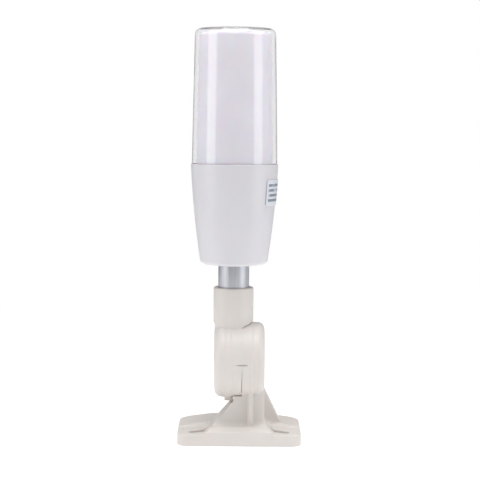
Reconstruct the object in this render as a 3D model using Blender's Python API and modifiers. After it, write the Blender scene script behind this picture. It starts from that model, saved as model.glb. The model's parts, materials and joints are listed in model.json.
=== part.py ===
# Signal tower light: one clear lamp on a white housing, an aluminium pole and a folding bracket.
# Origin at the middle of the base's underside. +X is across the knuckle, +Y away from the front, +Z up.

import math

import bmesh
import bpy
from mathutils import Matrix, Vector

# ---------------------------------------------------------------- driving sizes, in metres
GAP = 0.0003                     # clearance between pieces that touch
SHELL_ROUND = 36                 # sides of the housing, lens and diffuser
ROUND = 32                       # sides of the knuckles, pole and circuit board
CHASSIS_ROUND = 34               # keeps the facet edges clear of the bosses, which stand 60 degrees apart
BOSS_ROUND = 20                  # sides of a boss, cable hole or component
SMALL_ROUND = 12                 # sides of a screw or its hole

# bracket base
BASE_LENGTH = 0.0872
BASE_DEPTH = 0.057
BASE_CORNER = 0.008
BASE_CROWN = 0.0119              # height of the plate at its middle
BASE_END = 0.0085                # height of the plate at its ends
BASE_FRONT = 0.0098              # height of the middle at the front edge
CROWN_KNEE = 0.019               # where the crown starts to fall to the ends
EAR_FLOOR = 0.0080               # height of the recess around each fixing slot
EAR_INNER = 0.0205               # where the front recesses start to fall from the middle
EAR_SLOPE = 0.0045               # run of the sloping walls of the front recesses
SLOT_WIDTH = 0.0058
SLOT_LENGTH = 0.0156
SLOT_RADIUS = 0.0325             # from the base's middle to the middle of a front slot
SLOT_ANGLE = math.radians(29)
REAR_SLOT_LENGTH = 0.010
REAR_EAR_WIDTH = 0.013
BASE_WALL = 0.0028               # walls around the hollow underside
BASE_HOLLOW = 0.0048             # height of the hollow underside

# folding joint
PIVOT_HEIGHT = 0.057
KNUCKLE_RADIUS = 0.027
BASE_KNUCKLE_FACE = 0.0018       # mating face of the base's knuckle
BASE_KNUCKLE_OUTER = 0.0176
BASE_KNUCKLE_EDGE = 0.005
KNUCKLE_STEP_AT = 0.0090
KNUCKLE_STEP = 0.0004
HOLDER_KNUCKLE_OUTER = -0.0181
HOLDER_KNUCKLE_EDGE = 0.006
KNUCKLE_CLEARANCE = 0.0006       # radial, around the opposite knuckle
WEDGE_OPENING = 0.0007           # how far the joint line opens at the bottom of the front
WEDGE_BACK = -0.016
INDEX_LENGTH = 0.0077
INDEX_HEIGHT = 0.0007
INDEX_DEPTH = 0.0004
BAND_PLACE = (-0.0095, -0.0062)
BAND_HEIGHT = 0.0004
LUG_PLACE = (-0.0107, -0.0046)
LUG_RADIUS = KNUCKLE_RADIUS + 0.0026
LUG_HALF_ANGLE = math.radians(14)
LUG_CLEARANCE = 0.0016

# pedestal
PEDESTAL_LEFT = -0.0042
PEDESTAL_RIGHT = 0.0175
PEDESTAL_DEPTH = 0.027
PEDESTAL_FOOT = 0.0078           # radius of the foot fillet
FOOT_SINK = 0.0022               # how far the fillet runs on below the plate's top
KNUCKLE_ROOT = 0.002             # solid left between the friction washer's recess and the pedestal's top
PEDESTAL_TOP_WALL = 0.003
RIGHT_GUSSET_PLACE = (0.0006, 0.0086)
RIGHT_GUSSET_TOP = 0.0362
RIGHT_GUSSET_SLOPE = 2.03
LEFT_GUSSET_BACK = 0.0062
LEFT_GUSSET_TOP = 0.029
LEFT_GUSSET_SLOPE = 1.16
RIB_PLACE = (0.0064, 0.0093)
RIB_STANDS_OUT = 0.0034

# pivot hardware
BOLT_RADIUS = 0.003
BOLT_HEAD_FLATS = 0.010
BOLT_HEAD_HEIGHT = 0.004
NUT_HEIGHT = 0.005
NUT_RECESS = 0.0065
HEAD_RECESS = 0.008
BOLT_RECESS_RADIUS = 0.0075      # around the head and around the nut, for a socket
WASHER_RADIUS = 0.0062
WASHER_THICKNESS = 0.0012
SPRING_WASHER_RADIUS = 0.0056
SPRING_WASHER_THICKNESS = 0.0016
FRICTION_RADIUS = KNUCKLE_RADIUS - 0.011
FRICTION_THICKNESS = 0.0012
# The seal rib is a ring on the base's mating face that closes the joint to dirt.
SEAL_RIB = (KNUCKLE_RADIUS - 0.0034, KNUCKLE_RADIUS - 0.0016)
SEAL_RIB_HEIGHT = 0.0007

# pole and its socket
POLE_X = -0.0047
POLE_RADIUS = 0.011
POLE_WALL = 0.0012
SOCKET_WALL = 0.0029
SOCKET_RADIUS = POLE_RADIUS + GAP + SOCKET_WALL
SOCKET_TOP = 0.109
SOCKET_FLOOR = 0.086
SOCKET_ROOT = 0.016              # above the fold axis, inside the knuckle
SOCKET_EDGE = 0.001
CABLE_HOLE_RADIUS = 0.0045
CABLE_HOLE_HEIGHT = 0.070
CLAMP_HEIGHT = 0.097
CLAMP_BOSS_RADIUS = 0.005
CLAMP_BOSS_LENGTH = 0.002
M4_RADIUS = 0.002
M4_HEAD_RADIUS = 0.004
M4_HEAD_HEIGHT = 0.0028

# housing
HOUSING_BOTTOM = 0.1257
HOUSING_TOP = 0.1966
HOUSING_BOTTOM_RADIUS = 0.0236
HOUSING_TOP_RADIUS = 0.0309
HOUSING_BULGE = 0.53             # how much the side bows out between bottom and top
HOUSING_EDGE = 0.003
HOUSING_WALL = 0.0022
HOUSING_FLOOR = 0.003
COLLAR_WALL = 0.0027
COLLAR_TOP = 0.148
COLLAR_BOLT_HEIGHT = 0.140
SEAT_HEIGHT = 0.1865             # ledge that the lens ring lies on
SEAT_RADIUS = 0.0294             # bore that the lens skirt plugs into
BOSS_CIRCLE = 0.0205
BOSS_RADIUS = 0.0035
BOSS_TOP = 0.1777

# label on the housing
LABEL_LOW = 0.168
LABEL_HIGH = 0.186
LABEL_START = math.radians(48)   # from the front, towards +X
LABEL_END = math.radians(112)
LABEL_THICKNESS = 0.0003

# chassis that carries the lamp
DECK_HEIGHT = 0.1903             # underside of the deck
DECK_THICKNESS = 0.002
DECK_RADIUS = 0.0272
NECK_RADIUS = 0.0256
NECK_WALL = 0.0022
PAD_THICKNESS = 0.003
PAD_RADIUS = 0.0042
POST_CIRCLE = 0.018
POST_RADIUS = 0.003
M3_RADIUS = 0.0014
M3_HEAD_RADIUS = 0.0027
M3_HEAD_HEIGHT = 0.0022
M2_RADIUS = 0.001
M2_HEAD_RADIUS = 0.0022
M2_HEAD_HEIGHT = 0.0016

# driver board
BOARD_RADIUS = 0.0232
BOARD_THICKNESS = 0.0016
BOARD_HEIGHT = 0.1837
BOARD_NOTCH_RADIUS = 0.0046
CAPACITOR_RADIUS = 0.005
CAPACITOR_LENGTH = 0.016
INDUCTOR_RADIUS = 0.004
INDUCTOR_LENGTH = 0.008
TERMINAL_SIZE = (0.012, 0.008, 0.009)
LINK_SIZE = (0.008, 0.005)
LINK_HOLE_RADIUS = 0.0055        # hole in the deck for the lamp connector

# lamp
CARRIER_FACE = 0.008             # from the axis to each flat of the three-sided carrier
CARRIER_WALL = 0.0016
CARRIER_CORNER = 0.003
CARRIER_HEADROOM = 0.0092        # from the carrier's top up to the top of the lens
CARRIER_FOOT_RADIUS = 0.016
CARRIER_FOOT_THICKNESS = 0.002
CARRIER_SCREW_CIRCLE = 0.0133
LED_BOARD_WIDTH = 0.016
LED_BOARD_THICKNESS = 0.0012
LED_BOARD_MARGINS = (0.0014, 0.0020)  # above the housing, and below the carrier's top
LED_SIZE = 0.005
LED_HEIGHT = 0.0014
LED_COUNT = 5

# lens, diffuser and ring
LENS_TOP = 0.2912
CARRIER_TOP = LENS_TOP - CARRIER_HEADROOM
LED_BOARD_PLACE = (HOUSING_TOP + LED_BOARD_MARGINS[0], CARRIER_TOP - LED_BOARD_MARGINS[1])
LENS_TOP_RADIUS = 0.0284
LENS_BOTTOM_RADIUS = 0.0302
LENS_EDGE = 0.004
LENS_WALL = 0.0024
SKIRT_BOTTOM = 0.1881
SKIRT_RADIUS = 0.0291
SKIRT_INNER = 0.0275
BAYONET_COUNT = 3
BAYONET_WIDTH = math.radians(22)
BAYONET_TURN = math.radians(25)  # from locked to free
BAYONET_DEPTH = 0.0013
BAYONET_HEIGHT = 0.0019
NOTCH_EXTRA = math.radians(8)
DIFFUSER_WALL = 0.0012
DIFFUSER_EDGE = 0.003
RING_THICKNESS = 0.001

POLE_TURNS = [math.radians(30), math.radians(150), math.radians(270)]
FACE_TURNS = [math.radians(90), math.radians(210), math.radians(330)]

# ---------------------------------------------------------------- scene
for old in list(bpy.data.objects):
    bpy.data.objects.remove(old, do_unlink=True)


def new_collection(name):
    collection = bpy.data.collections.new(name)
    bpy.context.scene.collection.children.link(collection)
    return collection


PARTS = new_collection("signal_light")
CUTTERS = new_collection("cutters")


def new_axis(name, place, parent=None):
    """An empty that stands on an axis and carries the pieces built around it."""
    axis = bpy.data.objects.new(name, None)
    axis.location = place
    axis.parent = parent
    PARTS.objects.link(axis)
    return axis


FOLD_AXIS = new_axis("fold_axis", (0, 0, PIVOT_HEIGHT))
POLE_AXIS = new_axis("pole_axis", (POLE_X, 0, -PIVOT_HEIGHT), FOLD_AXIS)
LENS_AXIS = new_axis("lens_axis", (0, 0, HOUSING_TOP), POLE_AXIS)


# ---------------------------------------------------------------- materials
def new_material(name, colour, roughness, metallic=0.0, transmission=0.0):
    material = bpy.data.materials.new(name)
    material.use_nodes = True
    shader = material.node_tree.nodes["Principled BSDF"]
    shader.inputs["Base Color"].default_value = (*colour, 1.0)
    shader.inputs["Roughness"].default_value = roughness
    shader.inputs["Metallic"].default_value = metallic
    shader.inputs["Transmission Weight"].default_value = transmission
    material.diffuse_color = (*colour, 1.0)
    return material


IVORY = new_material("ivory_plastic", (0.73, 0.70, 0.67), 0.45)
WHITE = new_material("white_plastic", (0.72, 0.71, 0.74), 0.35)
CLEAR = new_material("clear_plastic", (0.95, 0.95, 0.97), 0.05, transmission=0.9)
OPAL = new_material("opal_plastic", (0.80, 0.78, 0.82), 0.5)
ALUMINIUM = new_material("aluminium", (0.75, 0.76, 0.78), 0.3, metallic=1.0)
STEEL = new_material("zinc_steel", (0.62, 0.63, 0.65), 0.3, metallic=1.0)
RUBBER = new_material("black_rubber", (0.03, 0.03, 0.03), 0.7)
FIBRE = new_material("grey_fibre", (0.22, 0.22, 0.23), 0.8)
CIRCUIT = new_material("green_board", (0.02, 0.18, 0.08), 0.4)
LED_WHITE = new_material("white_board", (0.85, 0.85, 0.82), 0.4)
BLACK = new_material("black_component", (0.03, 0.03, 0.035), 0.4)
BLUE = new_material("blue_terminal", (0.03, 0.16, 0.42), 0.4)
PRINT = new_material("label_print", (0.57, 0.62, 0.70), 0.4)


# ---------------------------------------------------------------- shapes
def add(name, mesh, material=None, parent=None, place=(0, 0, 0)):
    """Links a mesh as a piece, or as a cutter when it has no material."""
    piece = bpy.data.objects.new(name, mesh)
    piece.location = place
    piece.parent = parent
    if material is None:
        CUTTERS.objects.link(piece)
        piece.hide_render = True
        piece.display_type = "WIRE"
    else:
        mesh.materials.append(material)
        PARTS.objects.link(piece)
    return piece


def finished_mesh(name, work, turn=None):
    """Turns a bmesh into a mesh with outward faces, smooth where it is round."""
    if turn is not None:
        bmesh.ops.transform(work, matrix=turn, verts=work.verts)
    bmesh.ops.recalc_face_normals(work, faces=work.faces)
    mesh = bpy.data.meshes.new(name)
    work.to_mesh(mesh)
    work.free()
    mesh.shade_smooth()
    mesh.set_sharp_from_angle(angle=math.radians(35))
    return mesh


# each matrix points a shape's own Z along the named world direction
ALONG = {
    "Z": Matrix.Identity(4),
    "X": Matrix(((0, 0, 1, 0), (1, 0, 0, 0), (0, 1, 0, 0), (0, 0, 0, 1))),
    "-X": Matrix(((0, 0, -1, 0), (0, 1, 0, 0), (1, 0, 0, 0), (0, 0, 0, 1))),
    "Y": Matrix(((1, 0, 0, 0), (0, 0, -1, 0), (0, 1, 0, 0), (0, 0, 0, 1))),
}


def block(name, low, high, material=None, parent=None):
    work = bmesh.new()
    bmesh.ops.create_cube(work, size=1.0)
    size = Vector(high) - Vector(low)
    middle = (Vector(high) + Vector(low)) / 2
    place = Matrix.Translation(middle) @ Matrix.Diagonal((*size, 1.0))
    return add(name, finished_mesh(name, work, place), material, parent)


def rod(name, radius, low, high, along="Z", centre=(0, 0, 0), material=None, parent=None, sides=SMALL_ROUND):
    """A cylinder from low to high along a direction, its axis through centre."""
    work = bmesh.new()
    bmesh.ops.create_cone(
        work, cap_ends=True, segments=sides, radius1=radius, radius2=radius, depth=high - low
    )
    lift = Matrix.Translation((0, 0, (low + high) / 2))
    turn = Matrix.Translation(centre) @ ALONG[along] @ lift
    return add(name, finished_mesh(name, work, turn), material, parent)


def turned(name, profile, material=None, parent=None, along="Z", closed=False, sides=ROUND):
    """Turns a profile of (radius, height) points, which runs down its outer side, about an axis."""
    mesh = bpy.data.meshes.new(name)
    count = len(profile)
    edges = [(i, i + 1) for i in range(count - 1)]
    if closed:
        edges.append((count - 1, 0))
    mesh.from_pydata([(radius, 0, height) for radius, height in profile], edges, [])
    piece = add(name, mesh, material, parent)
    piece.rotation_euler = ALONG[along].to_euler()
    screw = piece.modifiers.new("turn", "SCREW")
    screw.axis = "Z"
    screw.angle = math.tau
    screw.steps = sides
    screw.render_steps = sides
    screw.use_merge_vertices = True
    screw.merge_threshold = 0.00001
    screw.use_smooth_shade = True
    return piece


def prism(name, outline, low, high, along="Z", material=None, parent=None):
    """A flat outline given thickness. Along Z the outline is (x, y), along X (y, z), along Y (x, z)."""
    curve = bpy.data.curves.new(name, "CURVE")
    curve.dimensions = "2D"
    curve.fill_mode = "BOTH"
    curve.extrude = (high - low) / 2
    spline = curve.splines.new("POLY")
    spline.points.add(len(outline) - 1)
    for point, (across, up) in zip(spline.points, outline):
        point.co = (across, up, 0, 1)
    spline.use_cyclic_u = True
    flat = bpy.data.objects.new(name + "_outline", curve)
    bpy.context.scene.collection.objects.link(flat)
    middle = (low + high) / 2
    if along == "Y":
        middle = -middle
    flat.matrix_world = ALONG[along] @ Matrix.Translation((0, 0, middle))
    bpy.context.view_layer.update()
    solid = bpy.data.meshes.new_from_object(flat.evaluated_get(bpy.context.evaluated_depsgraph_get()))
    work = bmesh.new()
    work.from_mesh(solid)
    bmesh.ops.remove_doubles(work, verts=work.verts, dist=0.000001)
    place = flat.matrix_world.copy()
    bpy.data.objects.remove(flat, do_unlink=True)
    return add(name, finished_mesh(name, work, place), material, parent)


def combine(piece, tool, operation):
    change = piece.modifiers.new(tool.name, "BOOLEAN")
    change.operation = operation
    change.object = tool
    change.solver = "EXACT"


def join(piece, *tools):
    for tool in tools:
        combine(piece, tool, "UNION")


def cut(piece, *tools):
    for tool in tools:
        combine(piece, tool, "DIFFERENCE")


def keep_inside(piece, tool):
    combine(piece, tool, "INTERSECT")


def weld(piece):
    """Closes the hair-thin slivers that a long chain of unions can leave."""
    change = piece.modifiers.new("weld", "WELD")
    change.merge_threshold = 0.00001


# ---------------------------------------------------------------- outlines
def arc(centre, radius, start, end, count=6):
    """Points on a circle between two angles, both ends included."""
    points = []
    for i in range(count + 1):
        angle = start + (end - start) * i / count
        points.append((centre[0] + radius * math.cos(angle), centre[1] + radius * math.sin(angle)))
    return points


def rounded(corners, count=5):
    """An outline through corners given as (x, y) or (x, y, radius), with each radius as an arc."""
    points = []
    total = len(corners)
    for i, corner in enumerate(corners):
        here = Vector(corner[:2])
        if len(corner) < 3:
            points.append(tuple(here))
            continue
        before = (Vector(corners[i - 1][:2]) - here).normalized()
        after = (Vector(corners[(i + 1) % total][:2]) - here).normalized()
        half = before.angle(after) / 2
        centre = here + (before + after).normalized() * (corner[2] / math.sin(half))
        first = here + before * (corner[2] / math.tan(half)) - centre
        last = here + after * (corner[2] / math.tan(half)) - centre
        start = math.atan2(first.y, first.x)
        sweep = (math.atan2(last.y, last.x) - start + math.pi) % math.tau - math.pi
        points += arc(centre, corner[2], start, start + sweep, count)
    return points


def rounded_rectangle(length, depth, radius):
    x = length / 2
    y = depth / 2
    return rounded([(x, y, radius), (-x, y, radius), (-x, -y, radius), (x, -y, radius)])


def slot_outline(centre, angle, length, width):
    """A straight slot with round ends, its length along the given angle."""
    reach = (length - width) / 2
    along = Vector((math.cos(angle), math.sin(angle)))
    middle = Vector(centre)
    quarter = math.pi / 2
    points = arc(middle + along * reach, width / 2, angle - quarter, angle + quarter)
    points += arc(middle - along * reach, width / 2, angle + quarter, angle + 3 * quarter)
    return points


def sector(inner, outer, middle, width, count=4):
    """A piece of a ring, in plan."""
    start = middle - width / 2
    end = middle + width / 2
    return arc((0, 0), outer, start, end, count) + arc((0, 0), inner, end, start, count)


def hexagon(flats, turn=0.0):
    radius = flats / math.sqrt(3)
    return [
        (radius * math.cos(turn + i * math.pi / 3), radius * math.sin(turn + i * math.pi / 3))
        for i in range(6)
    ]


def around(radius, angle):
    return (radius * math.cos(angle), radius * math.sin(angle))


def housing_radius(height):
    """Outer radius of the housing, which bows gently between its bottom and its top."""
    share = (height - HOUSING_BOTTOM) / (HOUSING_TOP - HOUSING_BOTTOM)
    grown = share * (1 + HOUSING_BULGE * (1 - share))
    return HOUSING_BOTTOM_RADIUS + (HOUSING_TOP_RADIUS - HOUSING_BOTTOM_RADIUS) * grown


def lens_radius(height):
    """Outer radius of the lens above the housing, a straight draft."""
    share = (height - HOUSING_TOP) / (LENS_TOP - HOUSING_TOP)
    return LENS_BOTTOM_RADIUS + (LENS_TOP_RADIUS - LENS_BOTTOM_RADIUS) * share


def steps_between(low, high, count):
    return [low + (high - low) * i / count for i in range(count + 1)]


# ---------------------------------------------------------------- bracket base
def slot_places():
    """Middle, direction and length of the three fixing slots."""
    places = []
    for side in (1, -1):
        direction = -math.pi / 2 + side * (math.pi / 2 - SLOT_ANGLE)
        places.append((around(SLOT_RADIUS, direction), direction, SLOT_LENGTH))
    rear = BASE_DEPTH / 2 - BASE_WALL - REAR_SLOT_LENGTH / 2
    places.append(((0, rear), math.pi / 2, REAR_SLOT_LENGTH))
    return places


def base_plate():
    plate = prism(
        "base", rounded_rectangle(BASE_LENGTH, BASE_DEPTH, BASE_CORNER), 0, 2 * BASE_CROWN, material=IVORY
    )
    end = BASE_LENGTH / 2
    slope = (BASE_CROWN - BASE_END) / (end - CROWN_KNEE)
    past = end + 0.005
    low = BASE_CROWN - slope * (past - CROWN_KNEE)
    knee_radius = 0.08
    crown = prism(
        "crown",
        rounded([
            (past, -0.01), (past, low), (CROWN_KNEE, BASE_CROWN, knee_radius),
            (-CROWN_KNEE, BASE_CROWN, knee_radius), (-past, low), (-past, -0.01),
        ]),
        -BASE_DEPTH, BASE_DEPTH, "Y",
    )
    keep_inside(plate, crown)
    front = -BASE_DEPTH / 2
    fall_start = -(PEDESTAL_DEPTH / 2 + PEDESTAL_FOOT)
    fall = (BASE_CROWN - BASE_FRONT) / (fall_start - front)
    nose = prism(
        "front_fall",
        [
            (BASE_DEPTH, -0.01), (BASE_DEPTH, 0.02), (fall_start, 0.02), (fall_start, BASE_CROWN + 0.0001),
            (front - 0.005, BASE_FRONT - fall * 0.005), (front - 0.005, -0.01),
        ],
        -BASE_LENGTH, BASE_LENGTH, "X",
    )
    keep_inside(plate, nose)
    return plate


def pedestal():
    """The post between plate and knuckle: two outlines with foot fillets, kept where they meet."""
    bottom = 0.003
    foot = BASE_CROWN - FOOT_SINK
    reach = PEDESTAL_FOOT + 0.0002
    top = PIVOT_HEIGHT - FRICTION_RADIUS - GAP - KNUCKLE_ROOT
    side = prism(
        "pedestal",
        rounded([
            (PEDESTAL_RIGHT, top), (PEDESTAL_LEFT, top),
            (PEDESTAL_LEFT, foot, PEDESTAL_FOOT), (PEDESTAL_LEFT - reach, foot),
            (PEDESTAL_LEFT - reach, bottom), (PEDESTAL_RIGHT + reach, bottom),
            (PEDESTAL_RIGHT + reach, foot), (PEDESTAL_RIGHT, foot, PEDESTAL_FOOT),
        ]),
        -BASE_DEPTH / 2, BASE_DEPTH / 2, "Y",
    )
    half = PEDESTAL_DEPTH / 2
    above = PIVOT_HEIGHT + 0.001
    front = prism(
        "pedestal_front",
        rounded([
            (half, above), (-half, above), (-half, foot, PEDESTAL_FOOT), (-half - reach, foot),
            (-half - reach, bottom / 2), (half + reach, bottom / 2), (half + reach, foot),
            (half, foot, PEDESTAL_FOOT),
        ]),
        -BASE_LENGTH / 2, BASE_LENGTH / 2, "X",
    )
    keep_inside(side, front)
    return side, front


def gussets(front):
    """The right one stands behind the front recess; the left one carries on the pedestal's front and its foot."""
    bottom = 0.004
    inside = 0.002
    right_end = PEDESTAL_RIGHT + (RIGHT_GUSSET_TOP - bottom) / RIGHT_GUSSET_SLOPE
    right = prism(
        "right_gusset",
        [
            (PEDESTAL_RIGHT - inside, bottom), (right_end, bottom), (PEDESTAL_RIGHT, RIGHT_GUSSET_TOP),
            (PEDESTAL_RIGHT - inside, RIGHT_GUSSET_TOP),
        ],
        *RIGHT_GUSSET_PLACE, "Y",
    )
    left_end = PEDESTAL_LEFT - (LEFT_GUSSET_TOP - bottom) / LEFT_GUSSET_SLOPE
    left = prism(
        "left_gusset",
        [
            (PEDESTAL_LEFT + inside, bottom), (PEDESTAL_LEFT + inside, LEFT_GUSSET_TOP),
            (PEDESTAL_LEFT, LEFT_GUSSET_TOP), (left_end, bottom),
        ],
        -BASE_DEPTH / 2, LEFT_GUSSET_BACK, "Y",
    )
    keep_inside(left, front)
    return right, left


def base_knuckle():
    edge = BASE_KNUCKLE_EDGE
    outer = KNUCKLE_RADIUS - KNUCKLE_STEP
    hole = BOLT_RADIUS + GAP
    nut_seat = BASE_KNUCKLE_OUTER - NUT_RECESS
    washer_seat = BASE_KNUCKLE_FACE + FRICTION_THICKNESS + GAP
    rib_face = BASE_KNUCKLE_FACE - SEAL_RIB_HEIGHT
    profile = [(BOLT_RECESS_RADIUS, BASE_KNUCKLE_OUTER)]
    profile += arc((outer - edge, BASE_KNUCKLE_OUTER - edge), edge, math.pi / 2, 0)
    profile += [
        (outer, KNUCKLE_STEP_AT + KNUCKLE_STEP), (KNUCKLE_RADIUS, KNUCKLE_STEP_AT),
        (KNUCKLE_RADIUS, BASE_KNUCKLE_FACE), (SEAL_RIB[1], BASE_KNUCKLE_FACE), (SEAL_RIB[1], rib_face),
        (SEAL_RIB[0], rib_face), (SEAL_RIB[0], BASE_KNUCKLE_FACE), (FRICTION_RADIUS + GAP, BASE_KNUCKLE_FACE),
        (FRICTION_RADIUS + GAP, washer_seat), (hole, washer_seat), (hole, nut_seat),
        (BOLT_RECESS_RADIUS, nut_seat),
    ]
    knuckle = turned("base_knuckle", profile, along="X", closed=True)
    knuckle.location.z = PIVOT_HEIGHT
    return knuckle


def base_hollow():
    """The hollow underside, which leaves a wall around the plate and around each slot."""
    hollow = prism(
        "base_hollow",
        rounded_rectangle(
            BASE_LENGTH - 2 * BASE_WALL, BASE_DEPTH - 2 * BASE_WALL, BASE_CORNER - BASE_WALL
        ),
        -0.005, BASE_HOLLOW,
    )
    for number, (middle, direction, length) in enumerate(slot_places(), 1):
        wall = 2 * BASE_WALL
        outline = slot_outline(middle, direction, length + wall, SLOT_WIDTH + wall)
        cut(hollow, prism(f"slot_wall_{number}", outline, -0.006, BASE_HOLLOW + 0.001))
    return hollow


def front_ear(side):
    """The recess around a front slot: a flat floor with sloping walls towards the middle and the back."""
    above = 3 * EAR_FLOOR
    foot = EAR_INNER + EAR_SLOPE
    name = "right_ear" if side > 0 else "left_ear"
    ear = prism(
        name,
        [
            (side * foot, EAR_FLOOR), (side * BASE_LENGTH, EAR_FLOOR), (side * BASE_LENGTH, above),
            (side * (EAR_INNER - 0.0004), above), (side * EAR_INNER, BASE_CROWN),
        ],
        -BASE_DEPTH, 0.001, "Y",
    )
    back = prism(
        name + "_back",
        [
            (-EAR_SLOPE, EAR_FLOOR), (-BASE_DEPTH, EAR_FLOOR - 0.001), (-BASE_DEPTH, above), (0.0004, above),
            (0, BASE_CROWN - 0.0018),
        ],
        -BASE_LENGTH, BASE_LENGTH, "X",
    )
    keep_inside(ear, back)
    return ear


def make_base():
    base = base_plate()
    post, post_front = pedestal()
    right_gusset, left_gusset = gussets(post_front)
    join(base, post, left_gusset)
    cut(base, front_ear(1), front_ear(-1))
    rear_start = slot_places()[2][0][1] - REAR_SLOT_LENGTH / 2 - 0.002
    rear = REAR_EAR_WIDTH / 2
    rear_ear = prism(
        "rear_ear",
        rounded([(-rear, rear_start, 0.003), (rear, rear_start, 0.003), (rear, BASE_DEPTH), (-rear, BASE_DEPTH)]),
        EAR_FLOOR, 3 * EAR_FLOOR,
    )
    cut(base, rear_ear)

    half = PEDESTAL_DEPTH / 2
    rib = block(
        "front_rib",
        (RIB_PLACE[0], -half - RIB_STANDS_OUT, 0.005),
        (RIB_PLACE[1], -half + 0.001, PIVOT_HEIGHT - KNUCKLE_RADIUS * 0.72),
    )
    join(base, right_gusset, rib)
    pivot = (0, 0, PIVOT_HEIGHT)
    ledge = rod(
        "ledge", KNUCKLE_RADIUS + KNUCKLE_CLEARANCE, PEDESTAL_LEFT - 0.001, BASE_KNUCKLE_FACE + 0.0005, "X",
        pivot, sides=2 * ROUND,
    )
    lug_path = rod(
        "lug_path", LUG_RADIUS + LUG_CLEARANCE, -0.04, PEDESTAL_LEFT - 0.0001, "X", pivot, sides=2 * ROUND
    )
    cut(base, ledge, lug_path)
    join(base, base_knuckle())

    cut(base, base_hollow())
    for number, (middle, direction, length) in enumerate(slot_places(), 1):
        outline = slot_outline(middle, direction, length, SLOT_WIDTH)
        cut(base, prism(f"slot_{number}", outline, -0.01, 2 * EAR_FLOOR))
    core_top = PIVOT_HEIGHT - KNUCKLE_RADIUS - PEDESTAL_TOP_WALL
    core = block(
        "pedestal_core",
        (PEDESTAL_LEFT + BASE_WALL, -half + BASE_WALL, -0.004),
        (PEDESTAL_RIGHT - BASE_WALL, half - BASE_WALL, core_top),
    )
    cut(base, core)

    mark = block(
        "base_index",
        (0, -KNUCKLE_RADIUS - 0.001, PIVOT_HEIGHT - INDEX_HEIGHT / 2),
        (INDEX_LENGTH * 0.7, -KNUCKLE_RADIUS + INDEX_DEPTH, PIVOT_HEIGHT + INDEX_HEIGHT / 2),
    )
    cut(base, mark)
    weld(base)


# ---------------------------------------------------------------- pivot hardware
def ring(name, inner, outer, low, high, material=None, parent=None, along="Z", sides=ROUND):
    profile = [(outer, high), (outer, low), (inner, low), (inner, high)]
    return turned(name, profile, material, parent, along, closed=True, sides=sides)


def make_pivot():
    recess_floor = HOLDER_KNUCKLE_OUTER + HEAD_RECESS
    washer_low = recess_floor - GAP - WASHER_THICKNESS
    spring_low = washer_low - GAP - SPRING_WASHER_THICKNESS
    head_low = spring_low - GAP - BOLT_HEAD_HEIGHT
    nut_low = BASE_KNUCKLE_OUTER - NUT_RECESS + GAP
    clear = BOLT_RADIUS + GAP

    flat = ring(
        "pivot_flat_washer", clear, WASHER_RADIUS, washer_low, washer_low + WASHER_THICKNESS, STEEL, along="X",
        sides=ROUND,
    )
    spring = ring(
        "pivot_spring_washer", clear, SPRING_WASHER_RADIUS, spring_low, spring_low + SPRING_WASHER_THICKNESS,
        STEEL, along="X", sides=ROUND,
    )
    split = block(
        "washer_split", (spring_low - 0.001, -0.0005, 0.001), (washer_low, 0.0005, 0.01),
    )
    split.location.z = PIVOT_HEIGHT
    cut(spring, split)
    friction = ring(
        "friction_washer", clear, FRICTION_RADIUS, BASE_KNUCKLE_FACE, BASE_KNUCKLE_FACE + FRICTION_THICKNESS,
        FIBRE, along="X",
    )
    bolt = prism(
        "pivot_bolt", hexagon(BOLT_HEAD_FLATS), head_low, head_low + BOLT_HEAD_HEIGHT, "X", STEEL
    )
    shank = rod(
        "bolt_shank", BOLT_RADIUS, head_low + BOLT_HEAD_HEIGHT / 2, nut_low + NUT_HEIGHT + 0.0008, "X"
    )
    shank.location.z = PIVOT_HEIGHT
    join(bolt, shank)
    nut = prism("pivot_nut", hexagon(BOLT_HEAD_FLATS), nut_low, nut_low + NUT_HEIGHT, "X", STEEL)
    nut_hole = rod("nut_hole", clear, nut_low - 0.001, nut_low + NUT_HEIGHT + 0.001, "X")
    nut_hole.location.z = PIVOT_HEIGHT
    cut(nut, nut_hole)
    for piece in (flat, spring, friction, bolt, nut):
        piece.location.z = PIVOT_HEIGHT


# ---------------------------------------------------------------- pole holder
def holder_knuckle():
    """The holder's half of the joint, turned about the fold axis, with a raised band on its rim."""
    edge = HOLDER_KNUCKLE_EDGE
    outer = -HOLDER_KNUCKLE_OUTER
    face = -(BASE_KNUCKLE_FACE - GAP)
    band_outer = -BAND_PLACE[0]
    band_inner = -BAND_PLACE[1]
    radius = KNUCKLE_RADIUS
    hole = BOLT_RADIUS + GAP
    head_seat = outer - HEAD_RECESS
    profile = [(BOLT_RECESS_RADIUS, outer)]
    profile += arc((radius - edge, outer - edge), edge, math.pi / 2, 0)
    profile += [
        (radius, band_outer + BAND_HEIGHT), (radius + BAND_HEIGHT, band_outer),
        (radius + BAND_HEIGHT, band_inner), (radius, band_inner - BAND_HEIGHT),
        (radius, face), (hole, face), (hole, head_seat), (BOLT_RECESS_RADIUS, head_seat),
    ]
    return turned("pole_holder", profile, IVORY, FOLD_AXIS, along="-X", closed=True)


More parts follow.
